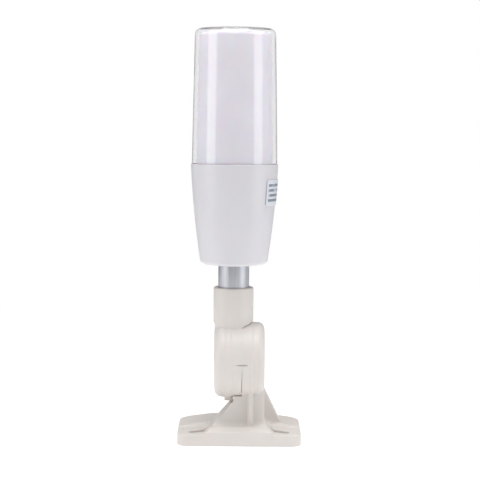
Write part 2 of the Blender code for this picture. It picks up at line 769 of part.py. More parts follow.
def make_pole_holder():
    holder = holder_knuckle()
    radius = KNUCKLE_RADIUS
    face = BASE_KNUCKLE_FACE - GAP
    lug = prism(
        "lug", sector(radius - 0.002, LUG_RADIUS, -math.pi / 2, 2 * LUG_HALF_ANGLE), *LUG_PLACE, "X",
        parent=FOLD_AXIS,
    )
    edge = SOCKET_EDGE
    bore = POLE_RADIUS + GAP
    profile = [(0, SOCKET_FLOOR), (bore, SOCKET_FLOOR), (bore, SOCKET_TOP)]
    profile += arc((SOCKET_RADIUS - edge, SOCKET_TOP - edge), edge, math.pi / 2, 0, 3)
    root = PIVOT_HEIGHT + SOCKET_ROOT
    profile += [(SOCKET_RADIUS, root), (0, root)]
    socket = turned("socket", profile, parent=POLE_AXIS)
    overhang = rod(
        "overhang_cut", radius + KNUCKLE_CLEARANCE, face, 0.03, "X", parent=FOLD_AXIS, sides=2 * ROUND
    )
    side_trim = block(
        "side_trim", (-0.05, -0.03, 0), (HOLDER_KNUCKLE_OUTER + 0.0001, 0.03, radius - BAND_HEIGHT),
        parent=FOLD_AXIS,
    )
    cut(socket, overhang, side_trim)
    boss = rod(
        "clamp_boss", CLAMP_BOSS_RADIUS, -SOCKET_RADIUS - CLAMP_BOSS_LENGTH, -POLE_RADIUS - 0.001, "Y",
        (0, 0, CLAMP_HEIGHT), parent=POLE_AXIS, sides=BOSS_ROUND,
    )
    join(holder, lug, socket, boss)

    drop = rod(
        "cable_drop", CABLE_HOLE_RADIUS, CABLE_HOLE_HEIGHT, SOCKET_FLOOR + 0.001, parent=POLE_AXIS, sides=BOSS_ROUND
    )
    outlet = rod(
        "cable_outlet", CABLE_HOLE_RADIUS, -0.04, 0.001, "Y", (0, 0, CABLE_HOLE_HEIGHT), parent=POLE_AXIS,
        sides=BOSS_ROUND,
    )
    clamp_hole = rod(
        "clamp_hole", M4_RADIUS + GAP, -0.03, -0.005, "Y", (0, 0, CLAMP_HEIGHT), parent=POLE_AXIS
    )
    wedge = prism(
        "joint_wedge",
        [(face, 0), (face + 0.002, 0), (face + 0.002, -radius - 0.003), (face - WEDGE_OPENING, -radius - 0.003)],
        -0.04, WEDGE_BACK, "Y", parent=FOLD_AXIS,
    )
    mark = block(
        "holder_index",
        (-INDEX_LENGTH * 0.3, -radius - 0.002, -INDEX_HEIGHT / 2),
        (face + 0.001, -radius + INDEX_DEPTH, INDEX_HEIGHT / 2),
        parent=FOLD_AXIS,
    )
    groove = ring(
        "seal_groove", SEAL_RIB[0] - GAP, SEAL_RIB[1] + GAP, face - SEAL_RIB_HEIGHT, face + 0.001,
        parent=FOLD_AXIS, along="X",
    )
    cut(holder, groove, drop, outlet, clamp_hole, wedge, mark)


def screw(name, place, direction, head_radius, head_height, shank_radius, length, parent):
    """A pan-head screw whose head starts at place and whose shank runs along direction."""
    edge = head_height * 0.35
    profile = [(0, head_height)]
    profile += [(head_radius - edge, head_height), (head_radius, head_height - edge)]
    profile += [(head_radius, 0), (shank_radius, 0), (shank_radius, -length), (0, -length)]
    piece = turned(name, profile, STEEL, parent, sides=SMALL_ROUND)
    piece.location = place
    piece.rotation_euler = Vector((0, 0, -1)).rotation_difference(Vector(direction)).to_euler()
    drive = block(
        name + "_drive", (-head_radius * 0.75, -0.0003, head_height * 0.6), (head_radius * 0.75, 0.0003, 0.005),
        parent=piece,
    )
    cut(piece, drive)
    return piece


# ---------------------------------------------------------------- pole
def make_pole():
    low = SOCKET_FLOOR + GAP
    high = COLLAR_TOP - 0.002
    pole = ring("pole", POLE_RADIUS - POLE_WALL, POLE_RADIUS, low, high, ALUMINIUM, POLE_AXIS)
    clamp = rod("pole_clamp_cut", M4_RADIUS + GAP, -0.03, 0, "Y", (0, 0, CLAMP_HEIGHT), parent=POLE_AXIS)
    across = rod(
        "pole_bolt_cut", M4_RADIUS + GAP, -0.03, 0.03, "X", (0, 0, COLLAR_BOLT_HEIGHT), parent=POLE_AXIS
    )
    cut(pole, clamp, across)
    screw(
        "pole_clamp_screw", (0, SOCKET_RADIUS + CLAMP_BOSS_LENGTH + GAP, CLAMP_HEIGHT), (0, -1, 0),
        M4_HEAD_RADIUS, M4_HEAD_HEIGHT, M4_RADIUS, 0.008, POLE_AXIS,
    )


# ---------------------------------------------------------------- housing
def make_housing():
    bore = POLE_RADIUS + GAP
    collar = bore + COLLAR_WALL
    floor = HOUSING_BOTTOM + HOUSING_FLOOR
    edge = HOUSING_EDGE
    profile = [(SEAT_RADIUS, HOUSING_TOP)]
    profile += [(housing_radius(z), z) for z in steps_between(HOUSING_TOP, HOUSING_BOTTOM + edge, 12)]
    turn = housing_radius(HOUSING_BOTTOM + edge) - edge
    profile += arc((turn, HOUSING_BOTTOM + edge), edge, 0, -math.pi / 2, 4)[1:]
    profile += [(bore, HOUSING_BOTTOM), (bore, COLLAR_TOP), (collar, COLLAR_TOP), (collar, floor)]
    shoulder = SEAT_HEIGHT - 0.002
    profile += [(housing_radius(z) - HOUSING_WALL, z) for z in steps_between(floor, shoulder, 8)]
    profile += [(housing_radius(shoulder) - HOUSING_WALL, SEAT_HEIGHT), (SEAT_RADIUS, SEAT_HEIGHT)]
    housing = turned("housing", profile, WHITE, POLE_AXIS, closed=True, sides=SHELL_ROUND)

    inside = [(0, HOUSING_TOP)]
    inside += [
        (housing_radius(z) - HOUSING_WALL / 2, z) for z in steps_between(HOUSING_TOP, floor - 0.001, 8)
    ]
    inside += [(0, floor - 0.001)]
    for number, angle in enumerate(POLE_TURNS, 1):
        reach = HOUSING_TOP_RADIUS - BOSS_CIRCLE
        middle = around(BOSS_CIRCLE + reach / 2, angle)
        outline = slot_outline(middle, angle, reach + 2 * BOSS_RADIUS, 2 * BOSS_RADIUS)
        boss = prism(f"housing_boss_{number}", outline, floor - 0.0015, BOSS_TOP, parent=POLE_AXIS)
        keep_inside(boss, turned(f"housing_inside_{number}", inside, parent=POLE_AXIS, sides=SHELL_ROUND))
        join(housing, boss)
    for number, angle in enumerate(POLE_TURNS, 1):
        x, y = around(BOSS_CIRCLE, angle)
        pilot = rod(
            f"boss_pilot_{number}", M3_RADIUS + GAP, BOSS_TOP - 0.012, BOSS_TOP + 0.005, centre=(x, y, 0),
            parent=POLE_AXIS,
        )
        cut(housing, pilot)
    across = rod(
        "collar_bolt_cut", M4_RADIUS + GAP, -collar - 0.001, collar + 0.001, "X", (0, 0, COLLAR_BOLT_HEIGHT),
        parent=POLE_AXIS,
    )
    cut(housing, across)

    nut_height = 0.0032
    screw(
        "collar_bolt", (-collar - GAP, 0, COLLAR_BOLT_HEIGHT), (1, 0, 0), 0.0035, 0.003, M4_RADIUS,
        2 * collar + 2 * GAP + nut_height + 0.001, POLE_AXIS,
    )
    nut = prism(
        "collar_nut", hexagon(0.007), collar + GAP, collar + GAP + nut_height, "X", STEEL, POLE_AXIS
    )
    nut.location.z = COLLAR_BOLT_HEIGHT
    nut_hole = rod(
        "collar_nut_hole", M4_RADIUS + GAP, collar, collar + nut_height + 0.002, "X",
        (0, 0, COLLAR_BOLT_HEIGHT), parent=POLE_AXIS,
    )
    cut(nut, nut_hole)


def make_label():
    heights = steps_between(LABEL_HIGH, LABEL_LOW, 4)
    outside = [(housing_radius(z) + GAP + LABEL_THICKNESS, z) for z in heights]
    inside = [(housing_radius(z) + GAP, z) for z in reversed(heights)]
    label = turned("rating_label", outside + inside, PRINT, POLE_AXIS, closed=True, sides=2 * SHELL_ROUND)
    middle = (LABEL_START + LABEL_END) / 2 - math.pi / 2
    width = LABEL_END - LABEL_START
    window = prism(
        "label_window", sector(0.01, 0.04, middle, width), LABEL_LOW - 0.01, LABEL_HIGH + 0.01,
        parent=POLE_AXIS,
    )
    keep_inside(label, window)


# ---------------------------------------------------------------- chassis and driver
def make_chassis():
    top = DECK_HEIGHT + DECK_THICKNESS
    foot = BOSS_TOP + GAP
    inner = NECK_RADIUS - NECK_WALL
    profile = [
        (LINK_HOLE_RADIUS, top), (DECK_RADIUS, top), (DECK_RADIUS, DECK_HEIGHT), (NECK_RADIUS, DECK_HEIGHT),
        (NECK_RADIUS, foot), (inner, foot), (inner, DECK_HEIGHT), (LINK_HOLE_RADIUS, DECK_HEIGHT),
    ]
    chassis = turned("chassis", profile, WHITE, POLE_AXIS, closed=True, sides=CHASSIS_ROUND)
    post_low = BOARD_HEIGHT + BOARD_THICKNESS + GAP
    for number, angle in enumerate(POLE_TURNS, 1):
        x, y = around(BOSS_CIRCLE, angle)
        pad = rod(
            f"chassis_pad_{number}", PAD_RADIUS, foot, foot + PAD_THICKNESS, centre=(x, y, 0),
            parent=POLE_AXIS,
        )
        join(chassis, pad)
    for number, angle in enumerate(FACE_TURNS, 1):
        x, y = around(POST_CIRCLE, angle)
        post = rod(
            f"board_post_{number}", POST_RADIUS, post_low, DECK_HEIGHT + 0.001, centre=(x, y, 0),
            parent=POLE_AXIS,
        )
        x, y = around(CARRIER_SCREW_CIRCLE, angle)
        seat = rod(
            f"carrier_boss_{number}", 0.0025, DECK_HEIGHT - 0.0035, DECK_HEIGHT + 0.001, centre=(x, y, 0),
            parent=POLE_AXIS,
        )
        join(chassis, post, seat)
    for number, angle in enumerate(POLE_TURNS, 1):
        x, y = around(BOSS_CIRCLE, angle)
        hole = rod(
            f"pad_hole_{number}", M3_RADIUS + GAP, foot - 0.001, foot + PAD_THICKNESS + 0.001,
            centre=(x, y, 0), parent=POLE_AXIS,
        )
        access = rod(
            f"access_hole_{number}", M3_HEAD_RADIUS + GAP, DECK_HEIGHT - 0.001, top + 0.001,
            centre=(x, y, 0), parent=POLE_AXIS,
        )
        notch = prism(
            f"bayonet_notch_{number}",
            sector(NECK_RADIUS + GAP, 0.03, angle, BAYONET_WIDTH + NOTCH_EXTRA),
            DECK_HEIGHT - 0.001, top + 0.001, parent=POLE_AXIS,
        )
        cut(chassis, hole, access, notch)
    for number, angle in enumerate(FACE_TURNS, 1):
        x, y = around(POST_CIRCLE, angle)
        pilot = rod(
            f"post_pilot_{number}", M2_RADIUS + GAP, post_low - 0.001, DECK_HEIGHT + 0.0005,
            centre=(x, y, 0), parent=POLE_AXIS,
        )
        x, y = around(CARRIER_SCREW_CIRCLE, angle)
        seat_hole = rod(
            f"seat_pilot_{number}", M2_RADIUS + GAP, DECK_HEIGHT - 0.005, top + 0.001,
            centre=(x, y, 0), parent=POLE_AXIS,
        )
        cut(chassis, pilot, seat_hole)
    for number, angle in enumerate(POLE_TURNS, 1):
        x, y = around(BOSS_CIRCLE, angle)
        screw(
            f"chassis_screw_{number}", (x, y, foot + PAD_THICKNESS + GAP), (0, 0, -1), M3_HEAD_RADIUS,
            M3_HEAD_HEIGHT, M3_RADIUS, 0.0118, POLE_AXIS,
        )


def make_driver():
    top = BOARD_HEIGHT + BOARD_THICKNESS
    board = rod(
        "driver_board", BOARD_RADIUS, BOARD_HEIGHT, top, material=CIRCUIT, parent=POLE_AXIS, sides=ROUND
    )
    for number, (clear, fixed) in enumerate(zip(POLE_TURNS, FACE_TURNS), 1):
        x, y = around(BOSS_CIRCLE, clear)
        notch = rod(
            f"board_notch_{number}", BOARD_NOTCH_RADIUS, BOARD_HEIGHT - 0.001, top + 0.001,
            centre=(x, y, 0), parent=POLE_AXIS,
        )
        x, y = around(POST_CIRCLE, fixed)
        hole = rod(
            f"board_hole_{number}", M2_RADIUS + GAP, BOARD_HEIGHT - 0.001, top + 0.001,
            centre=(x, y, 0), parent=POLE_AXIS,
        )
        cut(board, notch, hole)
        screw(
            f"board_screw_{number}", (x, y, BOARD_HEIGHT - GAP), (0, 0, 1), M2_HEAD_RADIUS,
            M2_HEAD_HEIGHT, M2_RADIUS, 0.0055, POLE_AXIS,
        )
    under = BOARD_HEIGHT - GAP
    rod(
        "smoothing_capacitor", CAPACITOR_RADIUS, under - CAPACITOR_LENGTH, under, centre=(0.008, -0.005, 0),
        material=BLACK, parent=POLE_AXIS, sides=BOSS_ROUND,
    )
    rod(
        "inductor", INDUCTOR_RADIUS, under - INDUCTOR_LENGTH, under, centre=(0.006, 0.007, 0),
        material=FIBRE, parent=POLE_AXIS, sides=BOSS_ROUND,
    )
    length, depth, height = TERMINAL_SIZE
    block(
        "terminal_block", (-0.009 - length / 2, -depth / 2, under - height),
        (-0.009 + length / 2, depth / 2, under), BLUE, POLE_AXIS,
    )
    block(
        "lamp_connector", (-LINK_SIZE[0] / 2, -LINK_SIZE[1] / 2, top + GAP),
        (LINK_SIZE[0] / 2, LINK_SIZE[1] / 2, DECK_HEIGHT + DECK_THICKNESS), BLACK, POLE_AXIS,
    )


# ---------------------------------------------------------------- lamp
def three_sided(distance, corner):
    """A triangle whose sides stand at the given distance from the axis, one towards each lamp board."""
    reach = 2 * distance
    points = [around(reach, angle + math.pi / 3) for angle in FACE_TURNS]
    return rounded([(x, y, corner) for x, y in points], 3)


def make_lamp():
    foot = DECK_HEIGHT + DECK_THICKNESS + GAP
    foot_top = foot + CARRIER_FOOT_THICKNESS
    carrier = prism(
        "led_carrier", three_sided(CARRIER_FACE, CARRIER_CORNER), foot, CARRIER_TOP, material=WHITE,
        parent=POLE_AXIS,
    )
    flange = rod("carrier_foot", CARRIER_FOOT_RADIUS, foot, foot_top, parent=POLE_AXIS, sides=ROUND)
    join(carrier, flange)
    inside = prism(
        "carrier_inside", three_sided(CARRIER_FACE - CARRIER_WALL, CARRIER_CORNER - CARRIER_WALL),
        foot - 0.001, CARRIER_TOP - CARRIER_WALL, parent=POLE_AXIS,
    )
    cut(carrier, inside)
    for number, angle in enumerate(FACE_TURNS, 1):
        x, y = around(CARRIER_SCREW_CIRCLE, angle)
        hole = rod(
            f"carrier_hole_{number}", M2_RADIUS + GAP, foot - 0.001, foot_top + 0.001, centre=(x, y, 0),
            parent=POLE_AXIS,
        )
        cut(carrier, hole)
        screw(
            f"carrier_screw_{number}", (x, y, foot_top + GAP), (0, 0, -1), M2_HEAD_RADIUS, M2_HEAD_HEIGHT,
            M2_RADIUS, 0.0068, POLE_AXIS,
        )
        make_led_board(number, angle)


def make_led_board(number, angle):
    """One strip of lamps, built facing +X and turned to its side of the carrier."""
    back = CARRIER_FACE + GAP
    front = back + LED_BOARD_THICKNESS
    low, high = LED_BOARD_PLACE
    half = LED_BOARD_WIDTH / 2
    board = block(f"led_board_{number}", (back, -half, low), (front, half, high), LED_WHITE, POLE_AXIS)
    board.rotation_euler.z = angle
    pitch = (high - low) / LED_COUNT
    for place in range(LED_COUNT):
        middle = low + pitch * (place + 0.5)
        led = block(
            f"led_{number}_{place + 1}",
            (front - 0.0003, -LED_SIZE / 2, middle - LED_SIZE / 2),
            (front + LED_HEIGHT, LED_SIZE / 2, middle + LED_SIZE / 2),
            parent=POLE_AXIS,
        )
        led.rotation_euler.z = angle
        join(board, led)


# ---------------------------------------------------------------- diffuser and lens
def make_diffuser():
    space = GAP + LENS_WALL
    top = LENS_TOP - LENS_WALL - GAP
    foot = DECK_HEIGHT + DECK_THICKNESS + GAP
    edge = DIFFUSER_EDGE
    wall = DIFFUSER_WALL
    outer_top = lens_radius(top - edge) - space
    shoulder = SKIRT_INNER - GAP
    profile = [(0, top)]
    profile += arc((outer_top - edge, top - edge), edge, math.pi / 2, 0, 4)
    profile += [(shoulder, HOUSING_TOP), (shoulder, foot), (shoulder - wall, foot), (shoulder - wall, HOUSING_TOP)]
    profile += arc((outer_top - edge, top - edge), edge - wall, 0, math.pi / 2, 4)
    profile += [(0, top - wall)]
    turned("diffuser", profile, OPAL, POLE_AXIS, sides=SHELL_ROUND)


def make_lens():
    shoulder = HOUSING_TOP + GAP
    edge = LENS_EDGE
    wall = LENS_WALL
    top = LENS_TOP - HOUSING_TOP
    base = SKIRT_BOTTOM - HOUSING_TOP
    crown_radius = lens_radius(LENS_TOP - edge)
    step = shoulder - HOUSING_TOP
    inner_edge = edge - wall
    profile = [(0, top)]
    profile += arc((crown_radius - edge, top - edge), edge, math.pi / 2, 0, 5)
    profile += [(lens_radius(shoulder), step), (SKIRT_RADIUS, step), (SKIRT_RADIUS, base), (SKIRT_INNER, base)]
    profile += [(SKIRT_INNER, step), (lens_radius(shoulder + 0.002) - wall, step + 0.002)]
    profile += arc((crown_radius - edge, top - edge), inner_edge, 0, math.pi / 2, 2)
    profile += [(0, top - wall)]
    lens = turned("lens_cover", profile, CLEAR, LENS_AXIS, sides=SHELL_ROUND)
    for number, angle in enumerate(POLE_TURNS, 1):
        tongue = prism(
            f"bayonet_tongue_{number}",
            sector(SKIRT_INNER - BAYONET_DEPTH, SKIRT_INNER + 0.0004, angle - BAYONET_TURN, BAYONET_WIDTH),
            base, base + BAYONET_HEIGHT, parent=LENS_AXIS,
        )
        join(lens, tongue)
    middle = (SEAT_RADIUS + SKIRT_INNER) / 2 + 0.0003
    half = RING_THICKNESS / 2
    height = SKIRT_BOTTOM - GAP - half
    profile = arc((middle, height), half, math.pi / 2, -math.pi * 3 / 2, 6)[:-1]
    turned("lens_ring", profile, RUBBER, POLE_AXIS, closed=True, sides=SHELL_ROUND)


make_base()
make_pivot()
make_pole_holder()
make_pole()
make_housing()
make_label()
make_chassis()
make_driver()
make_lamp()
make_diffuser()
make_lens()
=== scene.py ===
# %% [markdown]
# # A signal tower light on a folding bracket
# One lamp stands on a short aluminium pole, and the pole stands in a bracket that folds at a round joint.
# The design, the sizes and the motion are fixed already, in a solid model that this script loads first.
# Every step below makes one piece again as a fine mesh with a real finish, in the same place.
# All lengths are metres. +X runs along the fold's bolt, -Y is the front, and +Z is up.

import json
import math

import bmesh
import bpy
from mathutils import Matrix, Vector


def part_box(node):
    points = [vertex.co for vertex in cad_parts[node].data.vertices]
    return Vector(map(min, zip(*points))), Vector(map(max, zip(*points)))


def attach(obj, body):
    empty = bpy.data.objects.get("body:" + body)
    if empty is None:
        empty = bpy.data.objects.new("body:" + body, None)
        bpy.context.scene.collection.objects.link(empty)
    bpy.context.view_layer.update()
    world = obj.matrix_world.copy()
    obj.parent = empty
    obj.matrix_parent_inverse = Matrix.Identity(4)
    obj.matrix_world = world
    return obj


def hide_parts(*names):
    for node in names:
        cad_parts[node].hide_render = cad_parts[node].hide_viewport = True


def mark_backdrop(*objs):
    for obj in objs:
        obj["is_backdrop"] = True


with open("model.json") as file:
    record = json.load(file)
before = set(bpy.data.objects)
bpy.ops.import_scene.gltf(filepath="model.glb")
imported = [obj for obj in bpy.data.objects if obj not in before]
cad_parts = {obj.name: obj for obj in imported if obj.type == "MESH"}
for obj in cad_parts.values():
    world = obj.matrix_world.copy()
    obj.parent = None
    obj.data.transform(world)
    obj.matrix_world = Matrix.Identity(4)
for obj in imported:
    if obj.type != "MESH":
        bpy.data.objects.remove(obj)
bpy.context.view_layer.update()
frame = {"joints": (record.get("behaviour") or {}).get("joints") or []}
AXES = {joint["name"]: Vector(joint["pos_m"]) for joint in frame["joints"]}
FOLD = AXES["fold"]
POLE = Vector((AXES["lens_twist"].x, 0, 0))
SPLIT = AXES["lens_twist"].z
print("fold axis", tuple(FOLD), "pole at x", POLE.x, "lens parts from the housing at", SPLIT)

# %% [markdown]
# ## Outlines
# Nearly everything here is either turned on a lathe-like axis or pressed from a flat outline.
# So the first tools draw arcs and rounded corners. An arc needs a centre, a radius and two angles,
# and a rounded corner is only an arc that touches both of its sides.

# %% Arcs and rounded outlines
QUARTER = math.pi / 2


def arc(centre, radius, start, end, count=8):
    """Points on a circle between two angles, both ends included."""
    points = []
    for i in range(count + 1):
        angle = start + (end - start) * i / count
        points.append((centre[0] + radius * math.cos(angle), centre[1] + radius * math.sin(angle)))
    return points


def rounded(corners, count=8):
    """An outline through corners given as (x, y) or (x, y, radius)."""
    points = []
    for i, corner in enumerate(corners):
        here = Vector(corner[:2])
        if len(corner) < 3:
            points.append(tuple(here))
            continue
        before = (Vector(corners[i - 1][:2]) - here).normalized()
        after = (Vector(corners[(i + 1) % len(corners)][:2]) - here).normalized()
        half = before.angle(after) / 2
        centre = here + (before + after).normalized() * (corner[2] / math.sin(half))
        first = here + before * (corner[2] / math.tan(half)) - centre
        last = here + after * (corner[2] / math.tan(half)) - centre
        start = math.atan2(first.y, first.x)
        sweep = (math.atan2(last.y, last.x) - start + math.pi) % math.tau - math.pi
        points += arc(centre, corner[2], start, start + sweep, count)
    return points


def rounded_rectangle(length, depth, radius):
    x, y = length / 2, depth / 2
    return rounded([(x, y, radius), (-x, y, radius), (-x, -y, radius), (x, -y, radius)])


def slot_outline(centre, angle, length, width):
    """A straight slot with round ends, its length along the given angle."""
    along = Vector((math.cos(angle), math.sin(angle))) * (length - width) / 2
    middle = Vector(centre)
    points = arc(middle + along, width / 2, angle - QUARTER, angle + QUARTER, 12)
    points += arc(middle - along, width / 2, angle + QUARTER, angle + 3 * QUARTER, 12)
    return points


def sector(inner, outer, middle, width, count=10):
    """A piece of a flat ring."""
    start, end = middle - width / 2, middle + width / 2
    return arc((0, 0), outer, start, end, count) + arc((0, 0), inner, end, start, count)


def hexagon(flats):
    reach = flats / math.sqrt(3)
    return [(reach * math.cos(i * math.pi / 3), reach * math.sin(i * math.pi / 3)) for i in range(6)]


def around(radius, angle):
    return (radius * math.cos(angle), radius * math.sin(angle))


def between(low, high, count):
    return [low + (high - low) * i / count for i in range(count + 1)]


print("a 6 mm slot outline has", len(slot_outline((0, 0), 0, 0.016, 0.006)), "points")

# %% [markdown]
# ## Solids from outlines
# Two shapes cover most moulded and machined pieces. A *turned* piece spins a half profile about an axis,
# as a lathe would, and a *pressed* piece gives a flat outline its thickness.
# Both are made with bmesh, because its spin and extrude tools leave a clean closed mesh.
# Each shape is built along its own Z axis and then laid along the direction that it has on the light.

# %% Turned and pressed solids
ALONG = {
    "Z": Matrix.Identity(4),
    "X": Matrix(((0, 0, 1, 0), (1, 0, 0, 0), (0, 1, 0, 0), (0, 0, 0, 1))),
    "-X": Matrix(((0, 0, -1, 0), (0, 1, 0, 0), (1, 0, 0, 0), (0, 0, 0, 1))),
    "Y": Matrix(((1, 0, 0, 0), (0, 0, -1, 0), (0, 1, 0, 0), (0, 0, 0, 1))),
}
FINE = 96
WELD = 0.000002
CREASE = math.radians(32)


def shaped(name, work, along="Z", centre=(0, 0, 0), turn=0.0):
    """Lays a bmesh along a direction at a centre and links it as an object whose origin is the frame's."""
    place = Matrix.Translation(centre) @ Matrix.Rotation(turn, 4, "Z") @ ALONG[along]
    bmesh.ops.transform(work, matrix=place, verts=work.verts)
    bmesh.ops.recalc_face_normals(work, faces=work.faces)
    mesh = bpy.data.meshes.new(name)
    work.to_mesh(mesh)
    work.free()
    mesh.shade_smooth()
    mesh.set_sharp_from_angle(angle=CREASE)
    piece = bpy.data.objects.new(name, mesh)
    bpy.context.scene.collection.objects.link(piece)
    return piece


def turned(name, profile, along="Z", centre=(0, 0, 0), closed=False, sides=FINE):
    """Spins a profile of (radius, height) points. Where it isn't closed, its ends lie on the axis."""
    work = bmesh.new()
    points = [work.verts.new((radius, 0, height)) for radius, height in profile]
    edges = [work.edges.new(pair) for pair in zip(points, points[1:])]
    if closed:
        edges.append(work.edges.new((points[-1], points[0])))
    bmesh.ops.spin(
        work, geom=points + edges, cent=(0, 0, 0), axis=(0, 0, 1), angle=math.tau, steps=sides,
        use_merge=True,
    )
    bmesh.ops.remove_doubles(work, verts=work.verts, dist=WELD)
    return shaped(name, work, along, centre)


def pressed(name, outline, low, high, along="Z", centre=(0, 0, 0), turn=0.0):
    """Along Z the outline is (x, y), along X it is (y, z), and along Y it is (x, z)."""
    if along == "Y":
        low, high = -high, -low
    work = bmesh.new()
    face = work.faces.new([work.verts.new((x, y, low)) for x, y in outline])
    grown = bmesh.ops.extrude_face_region(work, geom=[face])["geom"]
    top = [item for item in grown if isinstance(item, bmesh.types.BMVert)]
    bmesh.ops.translate(work, vec=(0, 0, high - low), verts=top)
    return shaped(name, work, along, centre, turn)


def rod(name, radius, low, high, along="Z", centre=(0, 0, 0), sides=48):
    if along == "Y":
        low, high = -high, -low
    return turned(name, [(0, high), (radius, high), (radius, low), (0, low)], along, centre, sides=sides)


def block(name, low, high, turn=0.0, centre=(0, 0, 0)):
    outline = [(low[0], low[1]), (high[0], low[1]), (high[0], high[1]), (low[0], high[1])]
    return pressed(name, outline, low[2], high[2], turn=turn, centre=centre)


print("turned pieces have", FINE, "sides")

# %% [markdown]
# ## Cutting, joining and softening
# Modifiers cut and join the solids, and each result is written back into the mesh at once.
# A moulded piece then needs one more thing: nothing that comes out of a mould has a razor edge.
# `moulded` lays an even skin of small faces over the solid with the voxel Remesh modifier, and relaxes it.
# Inner corners fill a little and outer corners wear down a little, as in a real mould.
# Machined pieces keep their crisp faces and get a narrow bevel instead.

# %% Modifiers that are applied at once
def settle(piece):
    """Writes what the modifiers make into the mesh, and drops the tools that they used."""
    bpy.context.view_layer.update()
    mesh = bpy.data.meshes.new_from_object(piece.evaluated_get(bpy.context.evaluated_depsgraph_get()))
    tools = [change.object for change in piece.modifiers if change.type == "BOOLEAN"]
    piece.modifiers.clear()
    piece.data = mesh
    for tool in tools:
        bpy.data.objects.remove(tool, do_unlink=True)
    return piece


def combine(piece, operation, tools):
    for tool in tools:
        change = piece.modifiers.new(tool.name, "BOOLEAN")
        change.operation = operation
        change.object = tool
        change.solver = "EXACT"
    settle(piece)
    piece.data.set_sharp_from_angle(angle=CREASE)
    return piece


def join(piece, *tools):
    return combine(piece, "UNION", tools)


def cut(piece, *tools):
    return combine(piece, "DIFFERENCE", tools)


def keep_inside(piece, tool):
    return combine(piece, "INTERSECT", [tool])


def moulded(piece, grain=0.00035, passes=5, keep=0.3):
    """An even skin, relaxed so that every corner is a small fillet, then thinned where it is flat."""
    skin = piece.modifiers.new("skin", "REMESH")
    skin.mode = "VOXEL"
    skin.voxel_size = grain
    relax = piece.modifiers.new("relax", "SMOOTH")
    relax.factor = 0.5
    relax.iterations = passes
    thin = piece.modifiers.new("thin", "DECIMATE")
    thin.ratio = keep
    settle(piece)
    piece.data.shade_smooth()
    print(piece.name, "has", len(piece.data.polygons), "faces")
    return piece


def bevelled(piece, width, segments=3):
    """A narrow round on every sharp edge of a machined piece."""
    edge = piece.modifiers.new("edge", "BEVEL")
    edge.width = width
    edge.segments = segments
    edge.limit_method = "ANGLE"
    edge.angle_limit = CREASE
    edge.harden_normals = True
    settle(piece)
    return piece


def fused(name, pieces):
    """Several loose solids in one mesh, for small parts that sit on one board."""
    work = bmesh.new()
    for piece in pieces:
        work.from_mesh(piece.data)
        bpy.data.objects.remove(piece, do_unlink=True)
    mesh = bpy.data.meshes.new(name)
    work.to_mesh(mesh)
    work.free()
    whole = bpy.data.objects.new(name, mesh)
    bpy.context.scene.collection.objects.link(whole)
    return whole


# %% [markdown]
# ## Finishes
# Each finish is a Principled shader with a few procedural nodes around it. Object coordinates are in
# metres, so a noise scale of 1000 has a grain of about one millimetre. The class below carries the repeated
# work: it starts a finish, makes a noise, maps it onto a range, mixes two colours by it, and stacks bumps.

# %% Helpers for node materials
class Finish:
    """A material under construction, with its tree and its shader at hand."""

    def __init__(self, name, roughness, metallic=0.0):
        self.material = bpy.data.materials.new(name)
        self.material.use_nodes = True
        self.tree = self.material.node_tree
        self.shader = self.tree.nodes["Principled BSDF"]
        self.shader.inputs["Roughness"].default_value = roughness
        self.shader.inputs["Metallic"].default_value = metallic
        self.place = self.node("ShaderNodeTexCoord").outputs["Object"]

    def node(self, kind, **settings):
        made = self.tree.nodes.new(kind)
        for key, value in settings.items():
            setattr(made, key, value)
        return made

    def link(self, source, target):
        self.tree.links.new(source, target)

    def stretched(self, scale):
        mapping = self.node("ShaderNodeMapping")
        mapping.inputs["Scale"].default_value = scale
        self.link(self.place, mapping.inputs["Vector"])
        return mapping.outputs["Vector"]

    def noise(self, scale, detail=3.0, along=None):
        made = self.node("ShaderNodeTexNoise")
        made.inputs["Scale"].default_value = scale
        made.inputs["Detail"].default_value = detail
        self.link(along or self.place, made.inputs["Vector"])
        return made.outputs["Fac"]

    def maths(self, operation, first, second=0.0, third=None):
        made = self.node("ShaderNodeMath", operation=operation)
        for socket, value in zip(made.inputs, (first, second, third)):
            if isinstance(value, bpy.types.NodeSocket):
                self.link(value, socket)
            elif value is not None:
                socket.default_value = value
        return made.outputs[0]

    def mixed(self, share, first, second):
        made = self.node("ShaderNodeMix", data_type="RGBA")
        self.link(share, made.inputs["Factor"])
        for socket, value in ((made.inputs[6], first), (made.inputs[7], second)):
            if isinstance(value, bpy.types.NodeSocket):
                self.link(value, socket)
            else:
                socket.default_value = (*value, 1.0)
        return made.outputs[2]

    def spread(self, source, low, high, start=0.3, end=0.7):
        """Maps a noise onto a range of values."""
        made = self.node("ShaderNodeMapRange")
        for name, value in (("From Min", start), ("From Max", end), ("To Min", low), ("To Max", high)):
            made.inputs[name].default_value = value
        self.link(source, made.inputs["Value"])
        return made.outputs["Result"]

    def colour(self, source):
        self.link(source, self.shader.inputs["Base Color"])

    def roughness(self, source):
        self.link(source, self.shader.inputs["Roughness"])

    def bump(self, *layers):
        """Each layer is (height, depth in metres). They stack from the first to the last."""
        normal = None
        for height, depth in layers:
            made = self.node("ShaderNodeBump")
            made.inputs["Strength"].default_value = 1.0
            made.inputs["Distance"].default_value = depth
            self.link(height, made.inputs["Height"])
            if normal is not None:
                self.link(normal, made.inputs["Normal"])
            normal = made.outputs["Normal"]
        self.link(normal, self.shader.inputs["Normal"])


def shade(finish, **values):
    """Sets sockets of the shader by name, with _ for a space."""
    for key, value in values.items():
        finish.shader.inputs[key.replace("_", " ")].default_value = value


